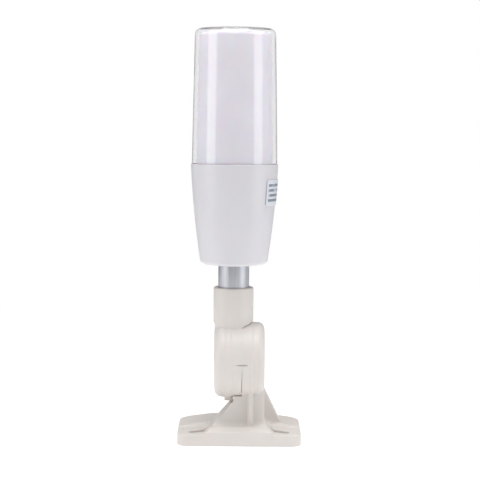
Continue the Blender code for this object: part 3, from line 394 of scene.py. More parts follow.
# %% [markdown]
# ### Moulded plastics
# The bracket is an ivory ABS with a fine satin grain, and the housing is a cooler white with a hint of
# lavender. Both have the same three signs of moulding: a grain of under a millimetre, a slow waviness where
# the plastic shrank, and colour that isn't quite even. A little light enters the surface, so a small share
# of subsurface is on.

# %% Ivory and white plastic
def moulded_plastic(name, light, shadow, roughness, grain):
    finish = Finish(name, roughness)
    cloud = finish.noise(38.0, 4.0)
    speck = finish.noise(2600.0, 2.0)
    tone = finish.mixed(finish.spread(cloud, 0.0, 1.0), shadow, light)
    worn = finish.node("ShaderNodeNewGeometry").outputs["Pointiness"]
    edge = finish.spread(worn, 0.0, 0.35, 0.52, 0.60)
    paler = tuple(min(1.0, value * 1.05) for value in light)
    finish.colour(finish.mixed(edge, tone, paler))
    finish.roughness(finish.spread(speck, roughness - 0.06, roughness + 0.08))
    finish.bump((finish.noise(60.0, 2.0), 0.00012), (finish.noise(1500.0, 3.0), grain))
    shade(finish, Subsurface_Weight=0.12, Subsurface_Scale=0.0015, IOR=1.52)
    return finish.material


IVORY = moulded_plastic("ivory_plastic", (0.745, 0.705, 0.675), (0.715, 0.672, 0.640), 0.42, 0.000012)
WHITE = moulded_plastic("white_plastic", (0.735, 0.725, 0.760), (0.710, 0.700, 0.737), 0.34, 0.000006)
INNER_WHITE = moulded_plastic("inner_white_plastic", (0.80, 0.80, 0.80), (0.76, 0.76, 0.76), 0.5, 0.000010)
print("plastics:", IVORY.name, WHITE.name, INNER_WHITE.name)

# %% [markdown]
# ### Clear and opal plastic
# The cover is polished polycarbonate with a faint tint. It has a real wall, so the shader's own refraction
# draws the thin lines along its edges, and only a trace of waviness is added. The sleeve inside is opal:
# light goes into it and comes out again, so it has a strong subsurface share and a soft surface. Its faint
# glow is painted light: the lamp is off, and the glow stands for the daylight that passes through the thin
# sleeve from behind.

# %% Clear cover and opal sleeve
def clear_plastic():
    finish = Finish("clear_plastic", 0.03)
    finish.roughness(finish.spread(finish.noise(420.0, 4.0), 0.015, 0.05))
    finish.bump((finish.noise(45.0, 2.0), 0.00004))
    shade(finish, Base_Color=(0.905, 0.900, 0.920, 1.0), Transmission_Weight=1.0, IOR=1.49)
    return finish.material


def opal_plastic():
    finish = Finish("opal_plastic", 0.4)
    cloud = finish.noise(55.0, 4.0)
    finish.colour(finish.mixed(finish.spread(cloud, 0.0, 1.0), (0.90, 0.84, 0.905), (0.94, 0.88, 0.945)))
    finish.roughness(finish.spread(finish.noise(1800.0, 2.0), 0.36, 0.46))
    finish.bump((finish.noise(900.0, 3.0), 0.000006))
    shade(finish, Subsurface_Weight=0.5, Subsurface_Scale=0.004, IOR=1.46)
    # Painted light: an emission glow on the unlit sleeve, standing in for daylight that shines through it.
    shade(finish, Emission_Color=(1.0, 0.97, 1.0, 1.0), Emission_Strength=0.16)
    return finish.material


CLEAR = clear_plastic()
OPAL = opal_plastic()
print("lamp finishes:", CLEAR.name, OPAL.name)

# %% [markdown]
# ### Metals
# The pole is drawn tube, so its marks run along it: the noise is stretched a hundredfold in Z.
# The fasteners are zinc plated, which leaves soft patches in tone and gloss. Inside are copper and brass.

# %% Aluminium, zinc, copper
def drawn_aluminium():
    finish = Finish("drawn_aluminium", 0.36, 1.0)
    streak = finish.noise(900.0, 4.0, finish.stretched((1.0, 1.0, 0.01)))
    cloud = finish.noise(70.0, 3.0)
    finish.colour(finish.mixed(finish.spread(streak, 0.0, 1.0), (0.51, 0.525, 0.56), (0.63, 0.645, 0.68)))
    drawn = finish.spread(streak, 0.36, 0.50)
    handled = finish.spread(cloud, -0.03, 0.05)
    finish.roughness(finish.maths("ADD", drawn, handled))
    finish.bump((streak, 0.000008))
    shade(finish, Anisotropic=0.4)
    return finish.material


def plated_metal(name, dark, light, roughness):
    finish = Finish(name, roughness, 1.0)
    patch = finish.noise(420.0, 5.0)
    finish.colour(finish.mixed(finish.spread(patch, 0.0, 1.0), dark, light))
    finish.roughness(finish.spread(finish.noise(900.0, 3.0), roughness - 0.07, roughness + 0.12))
    finish.bump((finish.noise(2400.0, 3.0), 0.000006))
    return finish.material


ALUMINIUM = drawn_aluminium()
ZINC = plated_metal("zinc_steel", (0.50, 0.51, 0.53), (0.68, 0.69, 0.71), 0.28)
COPPER = plated_metal("enamelled_copper", (0.48, 0.17, 0.07), (0.70, 0.30, 0.15), 0.3)
BRASS = plated_metal("brass_contact", (0.55, 0.42, 0.18), (0.72, 0.58, 0.28), 0.32)
print("metals:", ALUMINIUM.name, ZINC.name, COPPER.name, BRASS.name)

# %% [markdown]
# ### Rubber, fibre, boards and components
# These sit inside, and they show when the lens comes off. A plain two-tone noise with a matching bump is
# enough for rubber, pressed fibre and moulded components. A circuit board needs its tracks, and a brick
# pattern with thin joints gives straight lines that meet at right angles, as tracks do.

# %% Two-tone finishes and circuit boards
def two_tone(name, dark, light, scale, roughness, depth):
    finish = Finish(name, roughness)
    grain = finish.noise(scale, 4.0)
    finish.colour(finish.mixed(finish.spread(grain, 0.0, 1.0), dark, light))
    finish.roughness(finish.spread(finish.noise(scale * 0.4, 3.0), roughness - 0.07, roughness + 0.07))
    finish.bump((grain, depth))
    return finish.material


def circuit_board(name, mask, track, pitch):
    finish = Finish(name, 0.35)
    tracks = finish.node("ShaderNodeTexBrick", offset=0.37, squash=1.6, squash_frequency=3)
    tracks.inputs["Scale"].default_value = 1.0
    tracks.inputs["Mortar Size"].default_value = pitch * 0.11
    tracks.inputs["Mortar Smooth"].default_value = 0.1
    tracks.inputs["Brick Width"].default_value = pitch * 2.3
    tracks.inputs["Row Height"].default_value = pitch
    finish.link(finish.place, tracks.inputs["Vector"])
    line = tracks.outputs["Fac"]
    finish.colour(finish.mixed(line, mask, track))
    finish.roughness(finish.spread(finish.noise(1200.0, 2.0), 0.28, 0.42))
    finish.bump((line, 0.00003), (finish.noise(3000.0, 2.0), 0.000004))
    return finish.material


RUBBER = two_tone("black_rubber", (0.012, 0.012, 0.013), (0.03, 0.03, 0.032), 1800.0, 0.62, 0.00001)
FIBRE = two_tone("grey_fibre", (0.16, 0.16, 0.165), (0.27, 0.27, 0.275), 2600.0, 0.85, 0.00003)
FERRITE = two_tone("ferrite", (0.07, 0.07, 0.075), (0.12, 0.12, 0.125), 1500.0, 0.55, 0.00001)
BLACK = two_tone("black_component", (0.012, 0.012, 0.015), (0.028, 0.028, 0.033), 900.0, 0.38, 0.000006)
BLUE = two_tone("blue_terminal", (0.02, 0.11, 0.34), (0.035, 0.15, 0.42), 700.0, 0.4, 0.000008)
PHOSPHOR = two_tone("lamp_phosphor", (0.82, 0.62, 0.10), (0.90, 0.72, 0.20), 2200.0, 0.5, 0.00001)
GREEN_BOARD = circuit_board("green_board", (0.012, 0.13, 0.055), (0.05, 0.27, 0.11), 0.0021)
WHITE_BOARD = circuit_board("white_board", (0.86, 0.86, 0.83), (0.74, 0.74, 0.72), 0.0040)
print("inside finishes:", RUBBER.name, FIBRE.name, GREEN_BOARD.name, WHITE_BOARD.name)

# %% [markdown]
# ### The rating label
# A real label holds the maker's data. Here it is a printed film with rows of plain bars, which say nothing.
# The bars are worked out on the film: the angle round the pole gives the place along a row, and the height
# gives the row. A noise that changes from row to row breaks each bar into lengths like words.

# %% Label film with plain bars
LABEL_LOW, LABEL_HIGH = 0.168, 0.186
LABEL_START, LABEL_END = math.radians(48), math.radians(112)
LABEL_ROWS, LABEL_MARGIN = 4, 0.002
LABEL_PALE, LABEL_WHITE, LABEL_INK = (0.68, 0.72, 0.80), (0.76, 0.79, 0.86), (0.25, 0.27, 0.31)


def label_film():
    finish = Finish("label_print", 0.32)
    split = finish.node("ShaderNodeSeparateXYZ")
    finish.link(finish.place, split.inputs["Vector"])
    across = finish.maths("SUBTRACT", split.outputs["X"], POLE.x)
    front = finish.maths("MULTIPLY", split.outputs["Y"], -1.0)
    angle = finish.maths("ARCTAN2", across, front)
    height = finish.maths("SUBTRACT", split.outputs["Z"], LABEL_LOW + LABEL_MARGIN)
    rows = finish.maths("DIVIDE", height, (LABEL_HIGH - LABEL_LOW - 2 * LABEL_MARGIN) / LABEL_ROWS)
    inside_row = finish.maths("FRACT", rows)
    row = finish.maths("FLOOR", rows)
    printed = finish.maths("COMPARE", inside_row, 0.5, 0.26)
    along_row = finish.node("ShaderNodeCombineXYZ")
    finish.link(finish.maths("MULTIPLY", angle, 9.0), along_row.inputs["X"])
    finish.link(finish.maths("MULTIPLY", row, 3.7), along_row.inputs["Y"])
    words = finish.maths("GREATER_THAN", finish.noise(2.2, 0.0, along_row.outputs["Vector"]), 0.36)
    middle, half = (LABEL_START + LABEL_END) / 2, (LABEL_END - LABEL_START) / 2
    in_width = finish.maths("COMPARE", angle, middle, half - 0.07)
    in_height = finish.maths("COMPARE", rows, LABEL_ROWS / 2, LABEL_ROWS / 2)
    ink = finish.maths("MULTIPLY", printed, words)
    ink = finish.maths("MULTIPLY", ink, finish.maths("MULTIPLY", in_width, in_height))
    cloud = finish.mixed(finish.spread(finish.noise(160.0), 0.0, 1.0), LABEL_PALE, LABEL_WHITE)
    finish.colour(finish.mixed(ink, cloud, LABEL_INK))
    finish.bump((finish.noise(1400.0, 2.0), 0.000004))
    return finish.material


LABEL_FILM = label_film()
print("label rows:", LABEL_ROWS)


# %% [markdown]
# ## Handing a piece over
# Each fine piece takes its finish, rides on its moving body, and stands for the plain solid that it
# replaces, if there is one. One helper does all of that, so that no piece is forgotten.

# %% One helper for every piece
def hand_over(piece, material, body, slot, *nodes):
    piece.data.materials.clear()
    piece.data.materials.append(material)
    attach(piece, body)
    if nodes:
        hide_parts(*nodes)
    return piece


# %% [markdown]
# ## The bracket's base
# The base is one moulding: a crowned plate with three fixing slots, a post with a flared foot, two gussets,
# a rib and the right half of the joint. It is built from simple solids that are joined and cut.
# The plate's top falls to its ends and to its front, so the plate is kept where three outlines meet.

# %% Plate, post and gussets
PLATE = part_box("base")
LENGTH = PLATE[1].x - PLATE[0].x
CROWN, END_HEIGHT, FRONT_HEIGHT = 0.0119, 0.0085, 0.0098
CROWN_KNEE, CROWN_BLEND = 0.019, 0.08
EAR_FLOOR, EAR_INNER, EAR_SLOPE = 0.0080, 0.0205, 0.0045
WALL, HOLLOW, CORNER = 0.0028, 0.0048, 0.008
POST_LEFT, POST_RIGHT, POST_DEPTH = -0.0042, 0.0175, 0.027
FOOT, FOOT_SINK, FOOT_OVERLAP = 0.0078, 0.0022, 0.0002
POST_TOP, POST_FRONT_TOP = 0.0387, 0.058
DEPTH = 0.057
PAST, UNDER = 0.005, -0.01
print("base plate", round(LENGTH, 4), "x", DEPTH)


def base_plate():
    plate = pressed("base_moulding", rounded_rectangle(LENGTH, DEPTH, CORNER), 0, 2 * CROWN)
    past = LENGTH / 2 + PAST
    low = CROWN - (CROWN - END_HEIGHT) / (LENGTH / 2 - CROWN_KNEE) * (past - CROWN_KNEE)
    crown = rounded([
        (past, UNDER), (past, low), (CROWN_KNEE, CROWN, CROWN_BLEND), (-CROWN_KNEE, CROWN, CROWN_BLEND),
        (-past, low), (-past, UNDER),
    ])
    keep_inside(plate, pressed("crown", crown, -DEPTH, DEPTH, "Y"))
    front, start = -DEPTH / 2, -(POST_DEPTH / 2 + FOOT)
    fall = (CROWN - FRONT_HEIGHT) / (start - front)
    above = 0.02
    nose = [
        (DEPTH, UNDER), (DEPTH, above), (start, above), (start, CROWN + 0.0001),
        (front - PAST, FRONT_HEIGHT - fall * PAST), (front - PAST, UNDER),
    ]
    return keep_inside(plate, pressed("front_fall", nose, -LENGTH, LENGTH, "X"))


def post_front():
    half, reach, foot, bottom = POST_DEPTH / 2, FOOT + FOOT_OVERLAP, CROWN - FOOT_SINK, 0.0015
    outline = rounded([
        (half, POST_FRONT_TOP), (-half, POST_FRONT_TOP), (-half, foot, FOOT), (-half - reach, foot),
        (-half - reach, bottom), (half + reach, bottom), (half + reach, foot), (half, foot, FOOT),
    ])
    return pressed("post_front", outline, -LENGTH / 2, LENGTH / 2, "X")


def post():
    foot, reach, bottom = CROWN - FOOT_SINK, FOOT + FOOT_OVERLAP, 0.003
    outline = rounded([
        (POST_RIGHT, POST_TOP), (POST_LEFT, POST_TOP), (POST_LEFT, foot, FOOT), (POST_LEFT - reach, foot),
        (POST_LEFT - reach, bottom), (POST_RIGHT + reach, bottom), (POST_RIGHT + reach, foot),
        (POST_RIGHT, foot, FOOT),
    ])
    return keep_inside(pressed("post", outline, -DEPTH / 2, DEPTH / 2, "Y"), post_front())


def gusset(name, side, top, slope, front, back):
    """A triangle that leans against the post's side, down to the plate."""
    bottom, inside = 0.004, 0.002
    edge = POST_RIGHT if side > 0 else POST_LEFT
    outline = [
        (edge - side * inside, bottom), (edge + side * (top - bottom) / slope, bottom), (edge, top),
        (edge - side * inside, top),
    ]
    return pressed(name, outline, front, back, "Y")


# %% [markdown]
# The recess around each front slot has a flat floor for a screw head, and walls that slope up to the crown.
# The joint's half is turned about the fold axis: a rounded outer rim, a step, a seal rib on its mating
# face, a recess for the friction washer, and a deep pocket that holds the nut.

# %% Recesses, slots and the joint's right half
KNUCKLE = 0.027
LEDGE = KNUCKLE + 0.0006
BASE_FACE, BASE_OUTER = 0.0018, 0.0176
SEAL_IN, SEAL_OUT, SEAL_RISE = 0.0236, 0.0254, 0.0007
BOLT, CLEAR_GAP, POCKET = 0.003, 0.0003, 0.0075
FRICTION, FRICTION_THICK = 0.016, 0.0012
NUT_DEEP, HEAD_DEEP = 0.0065, 0.008
SLOT_WIDTH, SLOT_LENGTH, SLOT_REACH, SLOT_ANGLE = 0.0058, 0.0156, 0.0325, math.radians(29)
REAR_LENGTH, REAR_WIDTH = 0.010, 0.013
LUG_RADIUS, LUG_CLEARANCE = 0.0296, 0.0016


def slot_places():
    places = []
    for side in (1, -1):
        direction = -QUARTER + side * (QUARTER - SLOT_ANGLE)
        places.append((around(SLOT_REACH, direction), direction, SLOT_LENGTH))
    places.append(((0, DEPTH / 2 - WALL - REAR_LENGTH / 2), QUARTER, REAR_LENGTH))
    return places


def front_recess(side):
    above, foot = 3 * EAR_FLOOR, EAR_INNER + EAR_SLOPE
    outline = [
        (side * foot, EAR_FLOOR), (side * LENGTH, EAR_FLOOR), (side * LENGTH, above),
        (side * (EAR_INNER - 0.0004), above), (side * EAR_INNER, CROWN),
    ]
    back = [
        (-EAR_SLOPE, EAR_FLOOR), (-DEPTH, EAR_FLOOR - 0.001), (-DEPTH, above), (0.0004, above),
        (0, CROWN - 0.0018),
    ]
    recess = pressed("front_recess", outline, -DEPTH, 0.001, "Y")
    return keep_inside(recess, pressed("recess_back", back, -LENGTH, LENGTH, "X"))


def base_knuckle():
    outer, edge, step = KNUCKLE - 0.0004, 0.005, 0.009
    washer_seat = BASE_FACE + FRICTION_THICK + CLEAR_GAP
    nut_seat = BASE_OUTER - NUT_DEEP
    profile = [(POCKET, BASE_OUTER)] + arc((outer - edge, BASE_OUTER - edge), edge, QUARTER, 0, 12)
    profile += [
        (outer, step + 0.0004), (KNUCKLE, step), (KNUCKLE, BASE_FACE - SEAL_RISE),
        (SEAL_IN, BASE_FACE - SEAL_RISE), (SEAL_IN, BASE_FACE),
        (FRICTION + CLEAR_GAP, BASE_FACE), (FRICTION + CLEAR_GAP, washer_seat),
        (BOLT + CLEAR_GAP, washer_seat), (BOLT + CLEAR_GAP, nut_seat), (POCKET, nut_seat),
    ]
    return turned("base_knuckle", profile, "X", FOLD, closed=True, sides=128)


def base_hollow():
    outline = rounded_rectangle(LENGTH - 2 * WALL, DEPTH - 2 * WALL, CORNER - WALL)
    hollow = pressed("hollow", outline, -0.005, HOLLOW)
    walls = []
    for middle, turn, length in slot_places():
        outline = slot_outline(middle, turn, length + 2 * WALL, SLOT_WIDTH + 2 * WALL)
        walls.append(pressed("slot_wall", outline, -0.006, 0.006))
    return cut(hollow, *walls)


# %% [markdown]
# The order matters. The recesses are cut before the right gusset is added, because it stands behind them.
# The space for the other half of the joint is cleared before this half is added. The skin is laid last, and
# the mating face and the small index mark are cut into the finished skin, so that both stay crisp.

# %% Put the base together
INDEX_LENGTH, INDEX_HEIGHT, INDEX_DEPTH = 0.0077, 0.0008, 0.0008


def index_mark(low, high, height):
    """A thin bar that notches the rim of the joint at the front."""
    return block(
        "index_mark", (low, -KNUCKLE - 0.001, height - INDEX_HEIGHT / 2),
        (high, -KNUCKLE + INDEX_DEPTH, height + INDEX_HEIGHT / 2),
    )


base = base_plate()
LEFT_TOP, LEFT_SLOPE, LEFT_BACK = 0.029, 1.16, 0.0062
RIGHT_TOP, RIGHT_SLOPE, RIGHT_FRONT, RIGHT_BACK = 0.0362, 2.03, 0.0006, 0.0086
left_gusset = gusset("left_gusset", -1, LEFT_TOP, LEFT_SLOPE, -DEPTH / 2, LEFT_BACK)
keep_inside(left_gusset, post_front())
join(base, post(), left_gusset)
rear_start = DEPTH / 2 - WALL - REAR_LENGTH - 0.002
rear_recess = rounded([
    (-REAR_WIDTH / 2, rear_start, 0.003), (REAR_WIDTH / 2, rear_start, 0.003), (REAR_WIDTH / 2, DEPTH),
    (-REAR_WIDTH / 2, DEPTH),
])
cut(base, front_recess(1), front_recess(-1), pressed("rear_recess", rear_recess, EAR_FLOOR, 0.024))
rib = block(
    "rib", (0.0064, -POST_DEPTH / 2 - 0.0034, 0.005),
    (0.0093, -POST_DEPTH / 2 + 0.001, FOLD.z - KNUCKLE * 0.72),
)
join(base, gusset("right_gusset", 1, RIGHT_TOP, RIGHT_SLOPE, RIGHT_FRONT, RIGHT_BACK), rib)
ledge = rod("ledge", LEDGE, POST_LEFT - 0.001, BASE_FACE + 0.0005, "X", FOLD, 150)
lug_path = rod("lug_path", LUG_RADIUS + LUG_CLEARANCE, -0.04, POST_LEFT - 0.0001, "X", FOLD, 150)
cut(base, ledge, lug_path)
join(base, base_knuckle())
slots = [
    pressed("slot", slot_outline(middle, turn, length, SLOT_WIDTH), -0.01, 0.017)
    for middle, turn, length in slot_places()
]
core = block(
    "core", (POST_LEFT + WALL, -POST_DEPTH / 2 + WALL, -0.004),
    (POST_RIGHT - WALL, POST_DEPTH / 2 - WALL, 0.027),
)
cut(base, base_hollow(), core, *slots)
moulded(base)
faced = BASE_FACE - 0.003
facing = turned(
    "facing", [(LEDGE, BASE_FACE), (LEDGE, faced), (SEAL_OUT, faced), (SEAL_OUT, BASE_FACE)],
    "X", FOLD, closed=True, sides=128,
)
cut(base, facing, index_mark(0, INDEX_LENGTH * 0.7, FOLD.z))
base.data.shade_smooth()
hand_over(base, IVORY, "bracket_base", "ivory_plastic", "base")
print("base:", len(base.data.polygons), "faces after the index mark")

# %% [markdown]
# ## The pole holder
# The holder is the joint's left half with a socket for the pole on top. The socket overhangs the base's
# half, so the space above that half is cut out of it with a small clearance, and the slanted line where they
# meet shows from the front. A band runs round the rim, a lug hangs under it, and a boss at the back takes a
# screw. The two mating faces lie almost on each other, so their parting line hardly shows in its upper part.
# Below the index mark a wedge opens it.

# %% Turn and join the holder
HOLDER_OUTER, PARTING = -0.0181, 0.00006
HOLDER_FACE = BASE_FACE - PARTING
SOCKET, SOCKET_TOP, SOCKET_FLOOR = 0.0142, 0.109, 0.086
TUBE = 0.011
CLAMP_HEIGHT, CABLE_HEIGHT, CABLE = 0.097, 0.070, 0.0045
BOSS, BOSS_RISE, CLAMP_HOLE = 0.005, 0.002, 0.0023
BAND_LEFT, BAND_RIGHT, BAND_RISE = 0.0095, 0.0062, 0.0004
LUG_LEFT, LUG_RIGHT, LUG_ANGLE = -0.0107, -0.0046, math.radians(28)
WEDGE_OPENING, WEDGE_BACK = 0.0007, -0.016


def holder_knuckle():
    edge, outer, band = 0.006, -HOLDER_OUTER, KNUCKLE + BAND_RISE
    past_face = HOLDER_FACE + 0.001
    seat = outer - HEAD_DEEP
    profile = [(POCKET, outer)] + arc((KNUCKLE - edge, outer - edge), edge, QUARTER, 0, 14)
    profile += [
        (KNUCKLE, BAND_LEFT + BAND_RISE), (band, BAND_LEFT), (band, BAND_RIGHT),
        (KNUCKLE, BAND_RIGHT - BAND_RISE),
        (KNUCKLE, -past_face), (BOLT + CLEAR_GAP, -past_face), (BOLT + CLEAR_GAP, seat), (POCKET, seat),
    ]
    return turned("holder_moulding", profile, "-X", FOLD, closed=True, sides=128)


def pole_socket():
    edge, bore, root = 0.001, TUBE + CLEAR_GAP, FOLD.z + 0.016
    profile = [(0, SOCKET_FLOOR), (bore, SOCKET_FLOOR), (bore, SOCKET_TOP)]
    profile += arc((SOCKET - edge, SOCKET_TOP - edge), edge, QUARTER, 0, 6) + [(SOCKET, root), (0, root)]
    socket = turned("socket", profile, centre=POLE, sides=120)
    overhang = rod("overhang", LEDGE, HOLDER_FACE, 0.03, "X", FOLD, 150)
    trim = block("trim", (-0.05, -0.03, 0.05), (HOLDER_OUTER + 0.0001, 0.03, FOLD.z + KNUCKLE - 0.0004))
    return cut(socket, overhang, trim)


holder = holder_knuckle()
lug_outline = sector(KNUCKLE - 0.002, LUG_RADIUS, -QUARTER, LUG_ANGLE)
lug = pressed("lug", lug_outline, LUG_LEFT, LUG_RIGHT, "X", FOLD)
boss = rod("boss", BOSS, TUBE + 0.001, SOCKET + BOSS_RISE, "Y", (POLE.x, 0, CLAMP_HEIGHT))
join(holder, lug, pole_socket(), boss)
groove_in, groove_out = SEAL_IN - CLEAR_GAP, SEAL_OUT + CLEAR_GAP
groove_top, groove_floor = HOLDER_FACE + 0.001, HOLDER_FACE - SEAL_RISE
groove = turned(
    "groove",
    [(groove_out, groove_top), (groove_out, groove_floor),
     (groove_in, groove_floor), (groove_in, groove_top)],
    "X", FOLD, closed=True,
)
drop = rod("drop", CABLE, CABLE_HEIGHT, SOCKET_FLOOR + 0.001, centre=POLE)
outlet = rod("outlet", CABLE, -0.001, 0.04, "Y", (POLE.x, 0, CABLE_HEIGHT))
clamp_hole = rod("clamp_hole", CLAMP_HOLE, 0.005, 0.03, "Y", (POLE.x, 0, CLAMP_HEIGHT))
wedge_right, wedge_low = HOLDER_FACE + 0.002, -KNUCKLE - 0.003
wedge = pressed(
    "wedge",
    [(HOLDER_FACE, 0), (wedge_right, 0), (wedge_right, wedge_low), (HOLDER_FACE - WEDGE_OPENING, wedge_low)],
    -0.04, WEDGE_BACK, "Y", FOLD,
)
cut(holder, drop, outlet, clamp_hole)
moulded(holder)
facing = rod("facing", KNUCKLE + 0.0005, HOLDER_FACE, 0.01, "X", FOLD, 128)
cut(holder, facing, groove, wedge, index_mark(-INDEX_LENGTH * 0.3, HOLDER_FACE + 0.001, FOLD.z))
holder.data.shade_smooth()
hand_over(holder, IVORY, "light_arm", "ivory_plastic", "pole_holder")

# %% [markdown]
# ## Screws, bolts and nuts
# A screw is a turned head and shank with a drive cut into it. A thread is a helix in life. Here it is a row
# of low rings along the shank, which reads as a thread at this size and costs little.
# A hexagon head is pressed and then kept inside a cone, which is how its corners get their chamfer.

# %% Tools for fasteners
def threaded(radius, top, bottom, pitch):
    """Points down a shank whose outline rises and falls once each pitch."""
    points = []
    root = radius * 0.86
    count = max(1, round((top - bottom) / pitch))
    for i in range(count):
        height = top - (top - bottom) * i / count
        points += [(root, height), (radius, height - pitch * 0.45), (radius, height - pitch * 0.55)]
    return points + [(root, bottom), (radius * 0.6, bottom - radius * 0.3)]


def screw(node, place, direction, head, rise, shank, length, body="light_arm"):
    """A pan head with a cross recess, its head's underside at place and its shank along direction."""
    crown = rise * 0.45
    profile = [(0, rise)] + [
        (head * math.sin(a), rise - crown + crown * math.cos(a)) for a in between(0.25, QUARTER, 8)
    ]
    profile += [(head, 0.00008), (head * 0.97, 0), (shank, 0)]
    profile += threaded(shank, -0.0002, -length + shank * 0.3, shank * 0.42) + [(0, -length)]
    piece = turned(node + "_fine", profile, sides=48)
    reach, half = head * 0.55, head * 0.1
    for turn in (0.0, QUARTER):
        cut(piece, block("drive", (-reach, -half, rise * 0.45), (reach, half, rise * 2), turn))
    rotation = Vector((0, 0, -1)).rotation_difference(Vector(direction)).to_matrix().to_4x4()
    piece.data.transform(Matrix.Translation(place) @ rotation)
    return hand_over(piece, ZINC, body, "zinc_steel", node)


def chamfered_hexagon(name, flats, low, high, centre, both=True):
    """A hexagon along X whose corners are taken off by a cone at one or both ends."""
    shape = pressed(name, hexagon(flats), low, high, "X", centre)
    corner, slope, face = flats / math.sqrt(3), math.tan(math.radians(30)), flats * 0.47
    fall, clear = (corner - face) * slope, corner + 0.0002
    ends = [(0, high), (face, high), (clear, high - fall)]
    ends += [(clear, low + fall), (face, low)] if both else [(clear, low)]
    return keep_inside(shape, turned("cone", ends + [(0, low)], "X", centre))


# %% [markdown]
# The fold turns on a 6 mm bolt. From the left it holds a spring washer and a flat washer in the holder's
# pocket, then passes through the holder, the friction washer and the base into a nut in the base's pocket.

# %% The pivot's hardware
WASHER, WASHER_THICK = 0.0062, 0.0012
SPRING, SPRING_THICK, SPRING_SPLIT = 0.0056, 0.0016, 0.001
HEAD_HEIGHT, NUT_HEIGHT, FLATS = 0.004, 0.005, 0.010
washer_low = HOLDER_OUTER + HEAD_DEEP - CLEAR_GAP - WASHER_THICK
spring_low = washer_low - CLEAR_GAP - SPRING_THICK
head_low = spring_low - CLEAR_GAP - HEAD_HEIGHT
nut_low = BASE_OUTER - NUT_DEEP + CLEAR_GAP
nut_end = nut_low + NUT_HEIGHT


def washer(node, inner, outer, low, thick, material, slot, split=0.0):
    soft = thick * 0.18
    profile = rounded([
        (outer, low + thick, soft), (outer, low, soft), (inner, low, soft), (inner, low + thick, soft)
    ], 4)
    piece = turned(node + "_fine", profile, "X", FOLD, closed=True)
    if split:
        start, end = (low - 0.001, -split / 2, FOLD.z + 0.001), (low + 0.003, split / 2, FOLD.z + 0.01)
        cut(piece, block("split", start, end))
    return hand_over(piece, material, "bracket_base", slot, node)


hole = BOLT + CLEAR_GAP
washer("pivot_flat_washer", hole, WASHER, washer_low, WASHER_THICK, ZINC, "zinc_steel")
washer("pivot_spring_washer", hole, SPRING, spring_low, SPRING_THICK, ZINC, "zinc_steel", SPRING_SPLIT)
washer("friction_washer", hole, FRICTION, BASE_FACE, FRICTION_THICK, FIBRE, "grey_fibre")

bolt = chamfered_hexagon("pivot_bolt_fine", FLATS, head_low, head_low + HEAD_HEIGHT, FOLD, both=False)
shank_top = nut_end + 0.0008
shank = [(0, -head_low - HEAD_HEIGHT / 2), (BOLT, -head_low - HEAD_HEIGHT / 2), (BOLT, -0.002)]
shank += threaded(BOLT, -0.0025, -shank_top + BOLT * 0.3, 0.001) + [(0, -shank_top)]
join(bolt, turned("shank", shank, "-X", FOLD, sides=64))
hand_over(bolt, ZINC, "bracket_base", "zinc_steel", "pivot_bolt")
nut = chamfered_hexagon("pivot_nut_fine", FLATS, nut_low, nut_end, FOLD)
cut(nut, rod("nut_bore", hole, nut_low - 0.001, nut_end + 0.001, "X", FOLD))
hand_over(nut, ZINC, "bracket_base", "zinc_steel", "pivot_nut")
print("bolt from", round(head_low, 4), "to", round(shank_top, 4))

# %% [markdown]
# ## The pole
# A plain drawn tube with a deburred edge at each end. One hole takes the tip of the clamp screw at the
# back, and two more let the collar bolt through inside the housing.

# %% Pole and its clamp screw
COLLAR_TOP, COLLAR_BOLT = 0.148, 0.140
M4 = 0.002
TUBE_WALL, TUBE_SOFT_OUT, TUBE_SOFT_IN = 0.0012, 0.0004, 0.0003
tube_inside = TUBE - TUBE_WALL
pole_low, pole_high = SOCKET_FLOOR + CLEAR_GAP, COLLAR_TOP - 0.002
tube = rounded([
    (TUBE, pole_high, TUBE_SOFT_OUT), (TUBE, pole_low, TUBE_SOFT_OUT), (tube_inside, pole_low, TUBE_SOFT_IN),
    (tube_inside, pole_high, TUBE_SOFT_IN),
], 4)
pole = turned("pole_tube", tube, centre=POLE, closed=True, sides=128)
cut(
    pole,
    rod("screw_hole", M4 + CLEAR_GAP, 0, 0.03, "Y", (POLE.x, 0, CLAMP_HEIGHT)),
    rod("bolt_hole", M4 + CLEAR_GAP, -0.03, 0.03, "X", (POLE.x, 0, COLLAR_BOLT)),
)
hand_over(pole, ALUMINIUM, "light_arm", "aluminium", "pole")
clamp_place = (POLE.x, SOCKET + BOSS_RISE + CLEAR_GAP, CLAMP_HEIGHT)
screw("pole_clamp_screw", clamp_place, (0, -1, 0), 0.004, 0.0028, M4, 0.008)

# %% [markdown]
# ## The housing
# A cup with walls of 2.2 mm that bow out gently. The side is a parabola between the bottom radius and the
# top radius, so one formula gives the outside, the inside and the label that lies on it. Three screw columns
# grow out of the wall inside, and a collar in the floor slides over the pole.

# %% Turn the housing
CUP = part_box("housing")
CUP_LOW, CUP_HIGH = CUP[0].z, CUP[1].z
CUP_BOTTOM, CUP_TOP, BULGE = 0.0236, 0.0309, 0.53
CUP_WALL, CUP_EDGE, CUP_FLOOR = 0.0022, 0.003, 0.003
SEAT_HEIGHT, SEAT = 0.1865, 0.0294
COLUMN_CIRCLE, COLUMN, COLUMN_TOP = 0.0205, 0.0035, 0.1777
COLLAR_WALL, PILOT_DEPTH = 0.0027, 0.012
M3, M2 = 0.0014, 0.001
POLE_TURNS = [math.radians(30 + 120 * i) for i in range(3)]
FACE_TURNS = [math.radians(90 + 120 * i) for i in range(3)]


def cup_radius(height):
    share = (height - CUP_LOW) / (CUP_HIGH - CUP_LOW)
    return CUP_BOTTOM + (CUP_TOP - CUP_BOTTOM) * share * (1 + BULGE * (1 - share))


def on_pole(radius, angle):
    x, y = around(radius, angle)
    return (POLE.x + x, y, 0)


